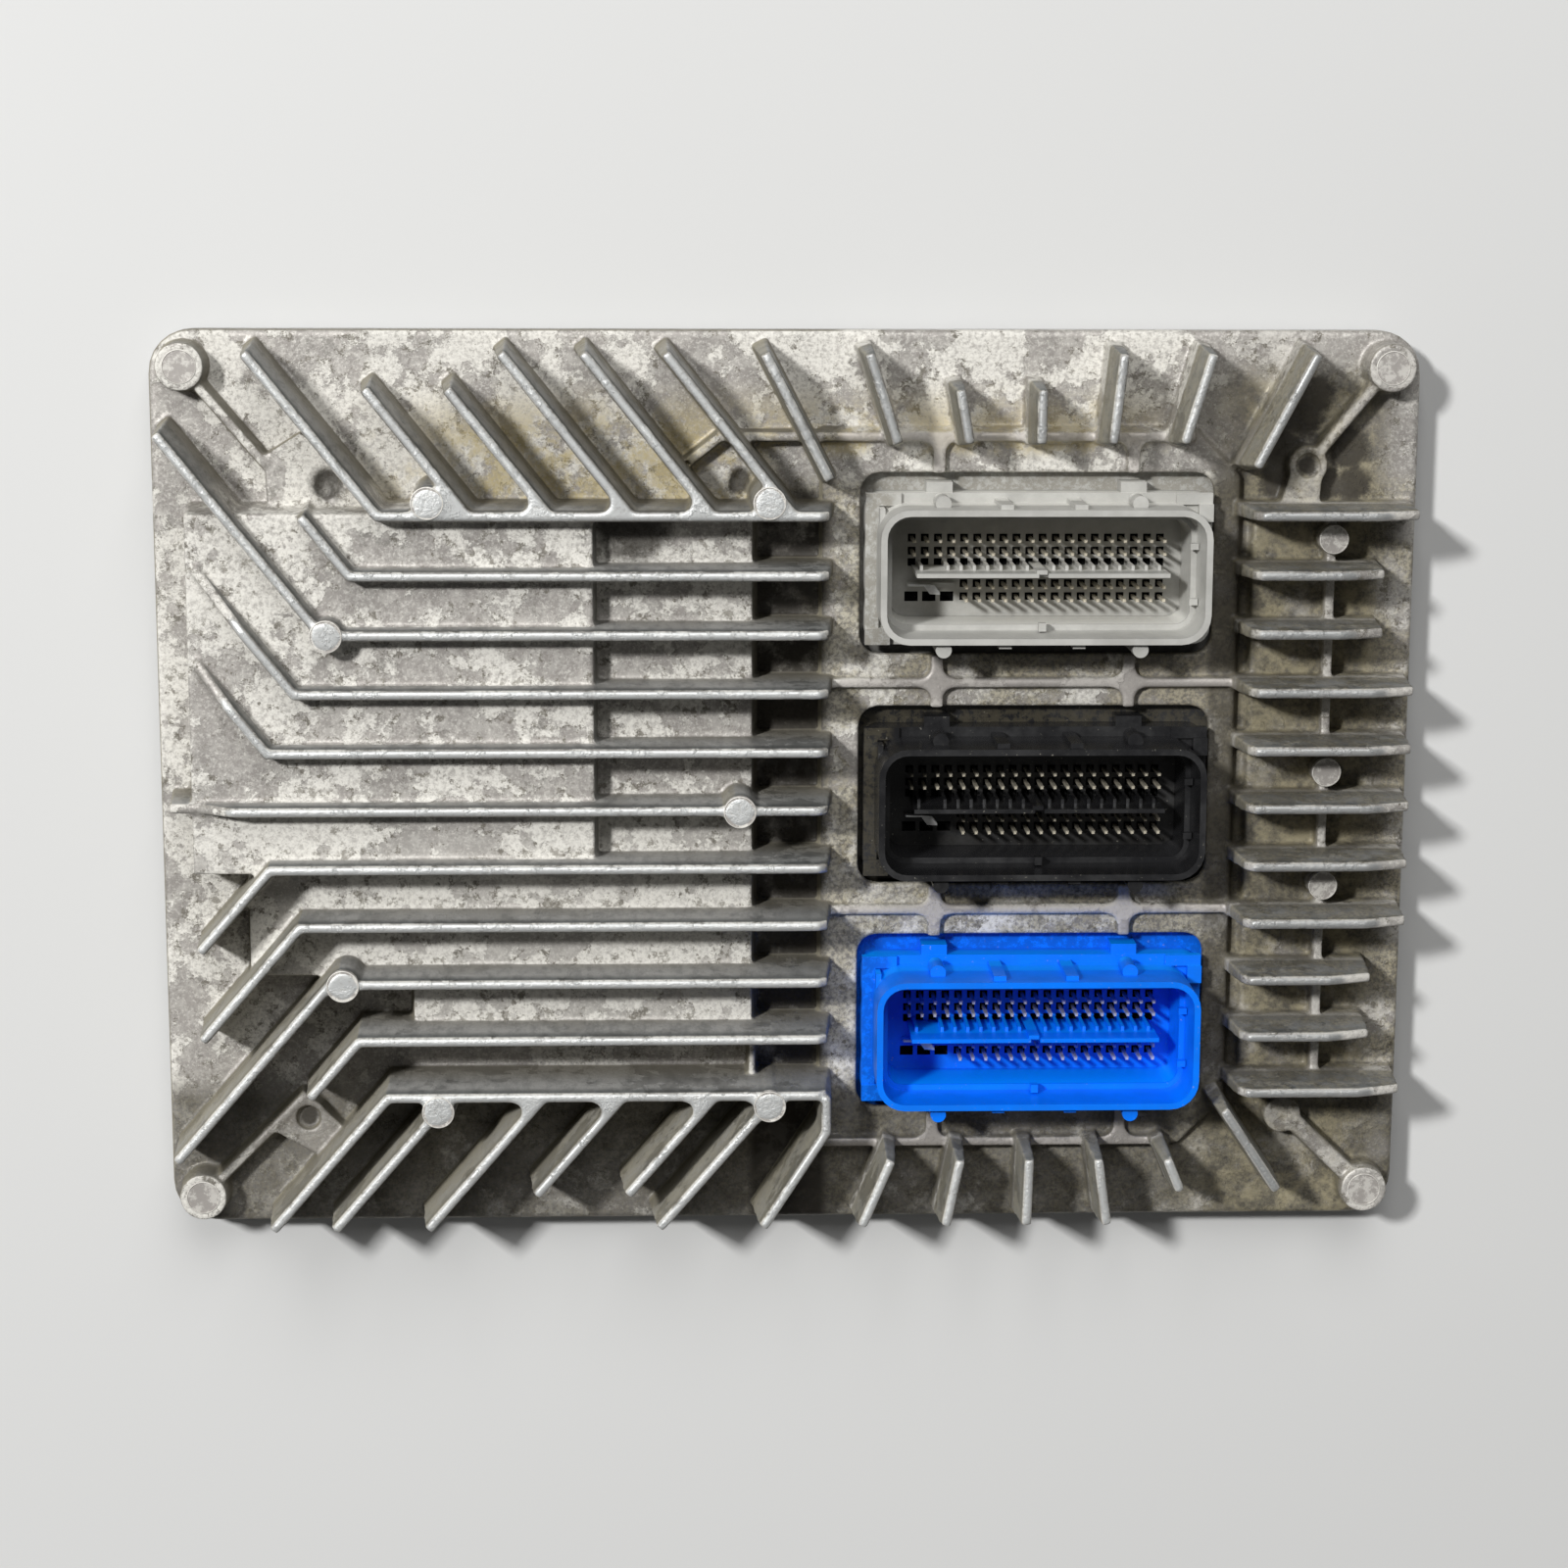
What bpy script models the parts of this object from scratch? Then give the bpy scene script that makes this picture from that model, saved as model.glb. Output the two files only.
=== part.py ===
"""Engine control unit: a die-cast finned cover over a circuit board, with three plug headers.

The unit lies flat on its back plate. +Z is up, out of the sockets, +X runs from the fins to the
sockets and +Y to the side of the grey socket. The origin is on the underside of the back plate,
in the middle of its outline.
"""
import math

import bmesh
import bpy
from mathutils import Vector

MM = 0.001

# Clearances
GAP = 0.3 * MM
SCREW_PLAY = 0.3 * MM
OVERLAP = 1.0 * MM

# Outline that cover and back plate share
PLATE_LENGTH = 244.0 * MM
PLATE_WIDTH = 176.5 * MM
PLATE_CORNER = 8.3 * MM
EDGE_CHAMFER = 0.7 * MM
CORNER_STEPS = 6
LEFT_EDGE = -PLATE_LENGTH / 2
RIGHT_EDGE = PLATE_LENGTH / 2
TOP_EDGE = PLATE_WIDTH / 2

# How much wider the plate is than the one that the rows and sockets were laid out on
ACROSS = PLATE_WIDTH / (176.5 * MM)

# Sockets: three equal headers in one column
SOCKET_X = RIGHT_EDGE - 73.9 * MM
SOCKET_PITCH = 45.5 * MM * ACROSS
SOCKET_MIDDLE_Y = -2.6 * MM * ACROSS
OPENING_LENGTH = 68.5 * MM
OPENING_WIDTH = SOCKET_PITCH - 10.3 * MM
OPENING_CORNER = 3.7 * MM
OPENING_SHIFT_Y = 0.7 * MM

# Back plate, a pressed sheet with a dished middle
SHEET = 1.5 * MM
DISH_DEPTH = 3.0 * MM
DISH_SLOPE = 3.0 * MM
DISH_MARGIN = 16.5 * MM
DISH_CORNER = 7.0 * MM

# Cover, heights above its flange face
FLANGE = 4.2 * MM
WALL = 2.3 * MM
HIGH_STEP = 12.9 * MM
MID_STEP = 7.0 * MM
LOW_STEP = 2.0 * MM
FIN_HEIGHT = 18.4 * MM
LOW_RIB_HEIGHT = 3.8 * MM
LOW_RIB_TOP_Y = 68.2 * MM * ACROSS
LOW_RIB_BOTTOM_Y = -71.8 * MM * ACROSS
LOW_RIB_START = 20.3 * MM
LOW_RIB_HOOK = (6.1 * MM, 4.8 * MM)
WEB_HEIGHT = 4.5 * MM
STEP_DRAFT = 1.0 * MM

# Fins
FIN_CREST = 1.9 * MM
FIN_CHAMFER = 0.45 * MM
FIN_DRAFT = math.tan(math.radians(2.0))
END_DRAFT = math.tan(math.radians(5.0))
SHOULDER = 1.4 * MM
FIN_MARGIN = 3.6 * MM
SHORT_MARGIN = 10.3 * MM
WEB_RADIUS = 1.8 * MM

# Rows of long fins, counted from the top one
ROW_COUNT = 11
ROW_PITCH = 11.25 * MM * ACROSS
MIDDLE_ROW_Y = -2.0 * MM
KNEE_X = LEFT_EDGE + 44.5 * MM
KNEE_STEP = 5.4 * MM
FIN_ANGLE_TOP = math.radians(51.5)
FIN_ANGLE_BOTTOM = math.radians(49.3)
FIN_STOP_X = SOCKET_X - OPENING_LENGTH / 2 - 6.65 * MM

# How much longer the long fins are than the ones that the layout was made for
ALONG = (FIN_STOP_X - KNEE_X) / (84.7 * MM)

# Ends of the long fins
NOSE_HEIGHT = 13.6 * MM
NOSE_LENGTH = 7.0 * MM

# Slanted fins that stand on the first and the last row, measured from the first row's knee
TOP_FEET_START = KNEE_X + 16.9 * MM * ALONG
TOP_FEET_PITCH = 15.3 * MM * ALONG
TOP_FEET_LONG = (False, False, True, True, True)
BOTTOM_FEET = (12.0 * MM, 30.0 * MM, 45.3 * MM, 63.1 * MM, 75.0 * MM)
BOTTOM_FEET_LONG = (True, True, False, False, True)

# Fan of fins above and below the sockets: foot pitch, and how far each tip leans
FAN_START_X = SOCKET_X - 28.2 * MM
FAN_PITCH = 13.5 * MM
FAN_TOP_LEAN = (-5.4 * MM, -1.8 * MM, 0.1 * MM, 1.8 * MM, 5.0 * MM)
FAN_TOP_LONG = (True, False, False, True, True)
FAN_BOTTOM_LEAN = (-5.6 * MM, -2.7 * MM, -0.4 * MM, 1.9 * MM, 2.7 * MM)
FAN_BOTTOM_LONG = (True, True, True, True, False)

# Plateaus of the cover
HIGH_LEFT_X = LEFT_EDGE + 7.8 * MM
HIGH_RIGHT_X = KNEE_X + 40.1 * MM * ALONG
HIGH_BOTTOM_Y = -14.9 * MM * ACROSS
HIGH_NOTCH_X = LEFT_EDGE + 21.0 * MM
MID_RIGHT_X = KNEE_X + 70.5 * MM * ALONG
MID_LEFT_X = LEFT_EDGE + 17.4 * MM
MID_JOG_Y = -36.4 * MM * ACROSS
MID_LOWER_X = KNEE_X + 4.5 * MM * ALONG
PLATFORM_LEFT_X = FIN_STOP_X - 0.6 * MM
PLATFORM_RIGHT_X = SOCKET_X + OPENING_LENGTH / 2 + 4.85 * MM
PLATFORM_TOP_Y = 69.4 * MM * ACROSS
PLATFORM_BOTTOM_Y = -72.8 * MM * ACROSS
PLATFORM_CUT = 9.0 * MM

# Short fins on the right
RIGHT_START_X = PLATFORM_RIGHT_X + 0.4 * MM
RIGHT_LONG_MARGIN = 2.7 * MM
RIGHT_SHORT_MARGIN = 9.0 * MM
RIGHT_SHORT_ROWS = (1, 2, 8, 9)
RIGHT_DROOP = 3.0 * MM
RIGHT_DROOP_LENGTH = 8.0 * MM
RIGHT_SHOULDER = 3.0 * MM
RIGHT_FLOOR_X = PLATFORM_RIGHT_X + 3.0 * MM
SPINE_X = RIGHT_EDGE - 17.5 * MM
SPINE_WIDTH = 1.4 * MM
SPINE_HEIGHT = 6.0 * MM
SPINE_PAD_RADIUS = 2.65 * MM
SPINE_PAD_HEIGHT = 8.5 * MM
SPINE_PAD_ROWS = (0.47, 4.5, 6.5)

# Ejector pads on the fins
PAD_RADIUS = 3.1 * MM
PAD_RISE = 0.25 * MM
PAD_SEAT = 2.6 * MM

# Corner bosses, board bosses and their screws
CORNER_INSET = 6.8 * MM
CORNER_BOSS_RADIUS = 4.6 * MM
CORNER_BOSS_HEIGHT = 6.4 * MM
CORNER_DISC_RADIUS = 2.9 * MM
CORNER_DISC_DEPTH = 0.4 * MM
CORNER_SCREW_RADIUS = 1.5 * MM
CORNER_HEAD_RADIUS = 3.4 * MM
CORNER_HEAD = 2.2 * MM
CORNER_SCREW_REACH = 2.6 * MM
BOSS_RIB_HEIGHT = 5.4 * MM
BOSS_RIB_CREST = 1.8 * MM
WIDE_RIB_CREST = 3.4 * MM
BOSS_RIB_ENDS = ((LEFT_EDGE + 22.6 * MM, TOP_EDGE - 25.65 * MM),
                 (RIGHT_EDGE - 20.0 * MM, TOP_EDGE - 23.05 * MM),
                 (RIGHT_EDGE - 22.0 * MM, -TOP_EDGE + 21.45 * MM),
                 (LEFT_EDGE + 27.3 * MM, -TOP_EDGE + 27.25 * MM))
BOARD_BOSSES = ((LEFT_EDGE + 34.0 * MM, TOP_EDGE - 28.95 * MM),
                (RIGHT_EDGE - 22.1 * MM, TOP_EDGE - 25.55 * MM),
                (RIGHT_EDGE - 23.2 * MM, -TOP_EDGE + 21.85 * MM),
                (LEFT_EDGE + 27.6 * MM, -TOP_EDGE + 22.45 * MM))
BOARD_BOSS_RADIUS = 3.7 * MM
DIMPLE_RADIUS = 2.2 * MM
DIMPLE_DEPTH = 1.4 * MM
BOARD_SCREW_RADIUS = 1.25 * MM
BOARD_HEAD_RADIUS = 2.7 * MM
BOARD_HEAD = 1.5 * MM
BOARD_SCREW_REACH = 4.4 * MM

# Seal between cover and back plate
SEAL_INSET = 13.5 * MM
SEAL_WIDTH = 2.4 * MM
SEAL_HEIGHT = 0.9 * MM
SEAL_CORNER = 6.0 * MM

# Hollow of the cover and the circuit board
HOLLOW_MARGIN = 17.0 * MM
HOLLOW_CORNER = 6.0 * MM
BOARD = 1.6 * MM
BOARD_LIFT = 2.7 * MM
BOARD_PLAY = 1.0 * MM
BOARD_CORNER = 5.0 * MM

# Headers
FLANGE_LIP = 3.0 * MM
FOOT_THICKNESS = 1.4 * MM
HEADER_SEAL = 0.6 * MM
HEADER_SEAL_WIDTH = 1.6 * MM
BLOCK_LENGTH = OPENING_LENGTH - 1.6 * MM
BLOCK_WIDTH = OPENING_WIDTH - 5.9 * MM
BLOCK_CORNER = 3.2 * MM
BLOCK_RISE = 2.4 * MM
SHROUD_LENGTH = BLOCK_LENGTH - 4.3 * MM
SHROUD_WIDTH = BLOCK_WIDTH - 3.8 * MM
SHROUD_CORNER = 5.6 * MM
SHROUD_HEIGHT = 15.3 * MM
SHROUD_WALL = 1.15 * MM
LEDGE_DEPTH = 9.5 * MM
LEDGE_WIDTH = 1.0 * MM
SHROUD_TAPER = 0.5 * MM
SOCKET_DEPTH = 20.1 * MM
SOCKET_STEPS = 4

# Pins of a header
PIN_PITCH = 2.54 * MM
PIN_END_ROOM = 11.3 * MM
PIN_COLUMNS = int((SHROUD_LENGTH - PIN_END_ROOM) / PIN_PITCH)
PIN_SIDE = 0.64 * MM
PIN_POINT = 0.5 * MM
PIN_HEIGHT = 7.8 * MM
PIN_ROWS = ((0.0, 0), (1.0, 0), (3.5, 4), (4.5, 4))
PIN_FIELD_Y = 5.5 * MM
BLADE_THICKNESS = 0.8 * MM
BLADE_HEIGHT = 14.8 * MM
BLADE_NOTCH_WIDTH = 1.8 * MM
BLADE_NOTCH_DEPTH = 1.6 * MM
BLADE_TAPER = 0.6 * MM

# Keys on the outside of a shroud
POST_RADIUS = 1.5 * MM
POST_REACH = 2.2 * MM
POST_HEIGHT = 11.5 * MM
POST_SPAN = SHROUD_LENGTH - 25.2 * MM
KEY_WIDTH = 2.4 * MM
KEY_REACH = 0.9 * MM
KEY_HEIGHT = 14.2 * MM
KEY_SPAN = 14.0 * MM
KEY_OFFSET_X = -0.5 * MM
TAB_WIDTH = 5.0 * MM
TAB_REACH = 2.0 * MM
TAB_SPAN = POST_SPAN

# Shorting clip in a socket
CLIP_THICKNESS = 0.4 * MM
CLIP_WIDTH = 2.6 * MM
CLIP_FOOT = 3.2 * MM
CLIP_RISE = 5.5 * MM
CLIP_LEAN = 1.6 * MM
CLIP_TONGUE = 2.0 * MM
CLIP_COLUMN = 1.6

# Electronics: centre x from the first row's knee, centre y, length, width, height
PROCESSOR = (5.5 * MM, 22.0 * MM, 24.0 * MM, 24.0 * MM, 2.4 * MM)
FLASH_MEMORY = (5.5 * MM, -2.0 * MM, 18.0 * MM, 12.0 * MM, 1.6 * MM)
DRIVER_SIZE = (14.0 * MM, 14.0 * MM, 3.2 * MM)
DRIVER_X = (17.5 * MM, 37.5 * MM, 57.5 * MM)
DRIVER_Y = -30.2 * MM
PAD_THICKNESS = 1.0 * MM
PAD_MARGIN = 1.0 * MM
INDUCTOR_SIZE = (12.5 * MM, 12.5 * MM, 6.0 * MM)
INDUCTOR_PLACES = ((53.5 * MM, 38.0 * MM), (53.5 * MM, 20.0 * MM))
CAPACITOR_RADIUS = 5.0 * MM
CAPACITOR_HEIGHT = 11.5 * MM
CAPACITOR_PLACES = ((25.5 * MM, 43.5 * MM), (13.0 * MM, 43.5 * MM), (0.5 * MM, 43.5 * MM))
CRYSTAL = (24.5 * MM, -2.0 * MM, 11.0 * MM, 4.6 * MM, 3.5 * MM)
CHIP_CHAMFER = 0.4 * MM

# Levels that follow from the sizes above
BORDER_TOP = DISH_DEPTH + SHEET
COVER_BOTTOM = BORDER_TOP + GAP
FACE = COVER_BOTTOM + FLANGE
BOARD_BOTTOM = SHEET + BOARD_LIFT
BOARD_TOP = BOARD_BOTTOM + BOARD
FIN_ROOT = FACE - OVERLAP
FOOT_BOTTOM = BOARD_TOP + GAP
FOOT_TOP = FOOT_BOTTOM + FOOT_THICKNESS
PLATFORM_CEILING = FOOT_TOP + GAP + HEADER_SEAL + GAP
BLOCK_TOP = FACE + LOW_STEP + BLOCK_RISE
RIM = BLOCK_TOP + SHROUD_HEIGHT
SOCKET_FLOOR = RIM - SOCKET_DEPTH


def material(name, colour, roughness, metallic):
    """A Principled material in the piece's own colour."""
    made = bpy.data.materials.new(name)
    made.use_nodes = True
    shader = made.node_tree.nodes["Principled BSDF"]
    shader.inputs["Base Color"].default_value = (*colour, 1.0)
    shader.inputs["Roughness"].default_value = roughness
    shader.inputs["Metallic"].default_value = metallic
    return made


def add_object(name, shape, finish=None):
    """Turn a bmesh into a named object and shade its round faces smooth."""
    bmesh.ops.recalc_face_normals(shape, faces=shape.faces)
    mesh = bpy.data.meshes.new(name)
    shape.to_mesh(mesh)
    shape.free()
    if finish:
        mesh.materials.append(finish)
    made = bpy.data.objects.new(name, mesh)
    bpy.context.scene.collection.objects.link(made)
    mesh.shade_smooth()
    mesh.set_sharp_from_angle(angle=math.radians(30.0))
    return made


def tool_group(name, shapes):
    """Keep helper solids in a collection that a Boolean modifier reads."""
    group = bpy.data.collections.new(name)
    bpy.context.scene.collection.children.link(group)
    for number, shape in enumerate(shapes):
        helper = add_object("%s_%02d" % (name, number), shape)
        bpy.context.scene.collection.objects.unlink(helper)
        group.objects.link(helper)
        helper.hide_render = True
        helper.display_type = "WIRE"
    return group


def combine(target, name, operation, shapes):
    """Join solids to a target, or cut them from it."""
    modifier = target.modifiers.new(name, "BOOLEAN")
    modifier.operation = operation
    modifier.operand_type = "COLLECTION"
    modifier.collection = tool_group(name, shapes)
    modifier.solver = "EXACT"
    return modifier


def rounded_rectangle(x, y, length, width, radius, steps=CORNER_STEPS):
    """Outline of a rectangle with round corners, anticlockwise."""
    points = []
    for corner, (side_x, side_y) in enumerate(((1, 1), (-1, 1), (-1, -1), (1, -1))):
        centre_x = x + side_x * (length / 2 - radius)
        centre_y = y + side_y * (width / 2 - radius)
        for step in range(steps + 1):
            angle = math.radians(90.0) * (corner + step / steps)
            points.append((centre_x + radius * math.cos(angle), centre_y + radius * math.sin(angle)))
    return points


def circle(x, y, radius, steps):
    """Outline of a circle."""
    turn = 2 * math.pi / steps
    angles = [turn * step for step in range(steps)]
    return [(x + radius * math.cos(angle), y + radius * math.sin(angle)) for angle in angles]


def rings(outlines, closed_ends=True):
    """Skin outlines of equal point count, each given with its height, and close the two ends."""
    shape = bmesh.new()
    loops = [[shape.verts.new((x, y, z)) for x, y in outline] for outline, z in outlines]
    for lower, upper in zip(loops, loops[1:]):
        for index in range(len(lower)):
            after = (index + 1) % len(lower)
            shape.faces.new((lower[index], lower[after], upper[after], upper[index]))
    if closed_ends:
        shape.faces.new(list(reversed(loops[0])))
        shape.faces.new(loops[-1])
    return shape


def prism(outline, bottom, top):
    """Upright solid on one outline."""
    return rings([(outline, bottom), (outline, top)])


def scaled(outline, grow):
    """Move each point of an outline along its corner's bisector, outwards for a positive amount."""
    moved = []
    count = len(outline)
    for index, (x, y) in enumerate(outline):
        before = Vector(outline[index - 1])
        after = Vector(outline[(index + 1) % count])
        here = Vector((x, y))
        first = (here - before).normalized()
        second = (after - here).normalized()
        out_first = Vector((first.y, -first.x))
        out_second = Vector((second.y, -second.x))
        bisector = (out_first + out_second).normalized()
        moved.append(tuple(here + bisector * grow / max(0.3, bisector.dot(out_first))))
    return moved


def plateau(outline, top):
    """Raised step of the casting with sloping sides, standing in the flange."""
    return rings([(scaled(outline, STEP_DRAFT), FIN_ROOT), (outline, top)])


def turned(profile, x, y, steps):
    """Solid of revolution about an upright axis, from (radius, height) pairs bottom to top."""
    return rings([(circle(x, y, radius, steps), z) for radius, z in profile])


def fin(path, crest=FIN_CREST, draft=FIN_DRAFT, root=FIN_ROOT, ends=(END_DRAFT, END_DRAFT)):
    """Cast fin along a path of (x, y, ridge height above the flange face), mitred at its knees."""
    shape = bmesh.new()
    sections = []
    for index, (x, y, height) in enumerate(path):
        here = Vector((x, y))
        ahead = Vector(path[min(index + 1, len(path) - 1)][:2])
        behind = Vector(path[max(index - 1, 0)][:2])
        after = (ahead - here).normalized() if index < len(path) - 1 else (here - behind).normalized()
        before = (here - behind).normalized() if index else after
        side_before = Vector((-before.y, before.x))
        side_after = Vector((-after.y, after.x))
        side = (side_before + side_after).normalized()
        side /= side.dot(side_after)
        lean = Vector((0.0, 0.0))
        if index == 0:
            lean = -after * ends[0]
        if index == len(path) - 1:
            lean = before * ends[1]
        ridge = FACE + height
        half = crest / 2
        section = []
        foot = half + (ridge - root) * draft
        shoulder = half + FIN_CHAMFER * draft
        flat = half - FIN_CHAMFER
        for reach, z in ((-foot, root), (-shoulder, ridge - FIN_CHAMFER), (-flat, ridge), (flat, ridge),
                         (shoulder, ridge - FIN_CHAMFER), (foot, root)):
            point = here + side * reach + lean * (ridge - z)
            section.append(shape.verts.new((point.x, point.y, z)))
        sections.append(section)
    for first, second in zip(sections, sections[1:]):
        for index in range(6):
            after = (index + 1) % 6
            shape.faces.new((first[index], second[index], second[after], first[after]))
    shape.faces.new(sections[0])
    shape.faces.new(list(reversed(sections[-1])))
    return shape


def row_y(row):
    """Height on the plate of a fin row."""
    return MIDDLE_ROW_Y + (ROW_COUNT // 2 - row) * ROW_PITCH


def knee_x(row):
    """Where a row's fin turns from level to slanted."""
    return KNEE_X - KNEE_STEP * min(row, ROW_COUNT - 1 - row)


def slant(x, y, target_y, angle):
    """Point on a line that leaves (x, y) to the left at an angle, at another height on the plate."""
    return x - abs(target_y - y) / math.tan(angle), target_y


def left_fins():
    """The eleven nested fins of the left part, each level on the right and slanted on the left."""
    fins = []
    middle = ROW_COUNT // 2
    tip_x = -PLATE_LENGTH / 2 + FIN_MARGIN
    for row in range(ROW_COUNT):
        y = row_y(row)
        knee = knee_x(row)
        upper = row < middle
        angle = FIN_ANGLE_TOP if upper else FIN_ANGLE_BOTTOM
        away = 1 if upper else -1
        depth = min(row, ROW_COUNT - 1 - row)
        if row == middle:
            path = [(tip_x, y, NOSE_HEIGHT), (HIGH_LEFT_X + SHOULDER, y, NOSE_HEIGHT),
                    (HIGH_LEFT_X + SHOULDER + NOSE_LENGTH, y, FIN_HEIGHT)]
        elif depth == 0:
            tip_y = away * (PLATE_WIDTH / 2 - FIN_MARGIN)
            path = [(*slant(knee, y, tip_y, angle), FIN_HEIGHT), (knee, y, FIN_HEIGHT)]
        elif depth == 1:
            path = [(*slant(knee, y, y + away * ROW_PITCH, angle), FIN_HEIGHT), (knee, y, FIN_HEIGHT)]
        elif depth == 2:
            tip_y = y + away * (knee - tip_x) * math.tan(angle)
            path = [(tip_x, tip_y, FIN_HEIGHT), (knee, y, FIN_HEIGHT)]
        else:
            start_x = HIGH_LEFT_X + SHOULDER
            tip_y = y + away * (knee - start_x) * math.tan(angle)
            path = [(start_x, tip_y, FIN_HEIGHT), (knee, y, FIN_HEIGHT)]
            if upper:
                ramp_y = tip_y - (tip_y - y) * 0.5
                ramp_x = start_x + (knee - start_x) * 0.5
                path = [(start_x, tip_y, NOSE_HEIGHT), (ramp_x, ramp_y, FIN_HEIGHT), (knee, y, FIN_HEIGHT)]
        path += [(FIN_STOP_X - SHOULDER, y, FIN_HEIGHT), (FIN_STOP_X, y, FIN_HEIGHT - SHOULDER)]
        fins.append(fin(path))
    return fins


def bottom_feet():
    """Where the slanted fins stand on the last row."""
    return [KNEE_X + foot * ALONG for foot in BOTTOM_FEET]


def on_board(x, y):
    """Place on the board from a distance to the first row's knee and a height on the plate."""
    return KNEE_X + x * ALONG, y * ACROSS


def on_board_size(size):
    """Length, width and height of a package that shrinks and grows with its room."""
    return size[0] * ALONG, size[1] * ACROSS, size[2]


def junction_web(foot_x, y, angle, away):
    """Concave fillet in the sharp corner between a slanted fin and the row that it stands on."""
    half = FIN_CREST / 2
    corner = Vector((foot_x - half / math.sin(angle) - half / math.tan(angle), y + away * half))
    reach = WEB_RADIUS / math.tan(angle / 2)
    along = Vector((-math.cos(angle), away * math.sin(angle)))
    centre = corner + Vector((-reach, away * WEB_RADIUS))
    steps = 4
    start = math.atan2(-away, 0.0)
    sweep = (math.pi - angle) * away
    points = [tuple(corner + Vector((half, -away * half)))]
    arc = []
    for step in range(steps + 1):
        turn = start + sweep * step / steps
        arc.append(tuple(centre + WEB_RADIUS * Vector((math.cos(turn), math.sin(turn)))))
    points.append((arc[0][0], arc[0][1] - away * half))
    points += arc
    points.append(tuple(corner + along * reach + Vector((half, away * half * 0.2))))
    if away < 0:
        points.reverse()
    return prism(points, FIN_ROOT, FACE + FIN_HEIGHT)


def slanted_fins():
    """Fins that lean against the first and the last row, with the webs at their feet."""
    parts = []
    top_feet = [TOP_FEET_START + number * TOP_FEET_PITCH for number in range(len(TOP_FEET_LONG))]
    sides = ((0, 1, FIN_ANGLE_TOP, top_feet, TOP_FEET_LONG),
             (ROW_COUNT - 1, -1, FIN_ANGLE_BOTTOM, bottom_feet(), BOTTOM_FEET_LONG))
    for row, away, angle, feet, long_fins in sides:
        y = row_y(row)
        for foot, is_long in zip(feet, long_fins):
            margin = FIN_MARGIN if is_long else SHORT_MARGIN
            tip_y = away * (PLATE_WIDTH / 2 - margin)
            path = [(*slant(foot, y, tip_y, angle), FIN_HEIGHT), (foot, y, FIN_HEIGHT)]
            parts.append(fin(path, ends=(END_DRAFT, 0)))
            parts.append(junction_web(foot, y, angle, away))
    return parts


def fan_fins():
    """Fins that fan out above and below the sockets, and the four that close the corners there."""
    parts = []
    sides = ((PLATFORM_TOP_Y, 1, FAN_TOP_LEAN, FAN_TOP_LONG),
             (PLATFORM_BOTTOM_Y, -1, FAN_BOTTOM_LEAN, FAN_BOTTOM_LONG))
    for foot_y, away, leans, long_fins in sides:
        for number, (lean, is_long) in enumerate(zip(leans, long_fins)):
            foot_x = FAN_START_X + number * FAN_PITCH
            margin = FIN_MARGIN if is_long else SHORT_MARGIN
            tip_y = away * (PLATE_WIDTH / 2 - margin)
            path = [(foot_x + lean, tip_y, FIN_HEIGHT), (foot_x, foot_y - away * SHOULDER, FIN_HEIGHT)]
            parts.append(fin(path))
    top_y = PLATE_WIDTH / 2 - FIN_MARGIN
    stop_y = row_y(0) + WALL * 3
    parts.append(fin([(FIN_STOP_X - 12.2 * MM, top_y, FIN_HEIGHT), (FIN_STOP_X, stop_y, FIN_HEIGHT)]))
    parts.append(fin([(RIGHT_START_X + 11.0 * MM, top_y, FIN_HEIGHT),
                      (RIGHT_START_X, stop_y + WALL, FIN_HEIGHT)]))
    last_y = row_y(ROW_COUNT - 1)
    knee_y = last_y - 7.4 * MM
    parts.append(fin([(FIN_STOP_X - 12.2 * MM, -top_y, FIN_HEIGHT), (FIN_STOP_X, knee_y, FIN_HEIGHT),
                      (FIN_STOP_X, last_y, FIN_HEIGHT)], ends=(END_DRAFT, 0)))
    parts.append(fin([(RIGHT_START_X + 8.0 * MM, -PLATE_WIDTH / 2 + SHORT_MARGIN, FIN_HEIGHT),
                      (PLATFORM_RIGHT_X - 2.4 * MM, last_y - 3.4 * MM, FIN_HEIGHT)]))
    return parts


def right_fins():
    """Short level fins right of the sockets, their crests falling away to the plate's edge."""
    parts = []
    edge = PLATE_LENGTH / 2
    for row in range(ROW_COUNT):
        y = row_y(row)
        margin = RIGHT_SHORT_MARGIN if row in RIGHT_SHORT_ROWS else RIGHT_LONG_MARGIN
        stop = edge - margin
        path = [(RIGHT_START_X, y, FIN_HEIGHT - RIGHT_SHOULDER), (RIGHT_START_X + SHOULDER, y, FIN_HEIGHT),
                (stop - RIGHT_DROOP_LENGTH, y, FIN_HEIGHT), (stop, y, FIN_HEIGHT - RIGHT_DROOP)]
        parts.append(fin(path))
    spine = [(SPINE_X, row_y(0), SPINE_HEIGHT), (SPINE_X, row_y(ROW_COUNT - 1), SPINE_HEIGHT)]
    parts.append(fin(spine, crest=SPINE_WIDTH, ends=(0, 0)))
    for row in SPINE_PAD_ROWS:
        profile = ((SPINE_PAD_RADIUS + OVERLAP * 0.2, FIN_ROOT), (SPINE_PAD_RADIUS, FACE + SPINE_PAD_HEIGHT))
        parts.append(turned(profile, SPINE_X, row_y(row), 12))
    return parts


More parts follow.
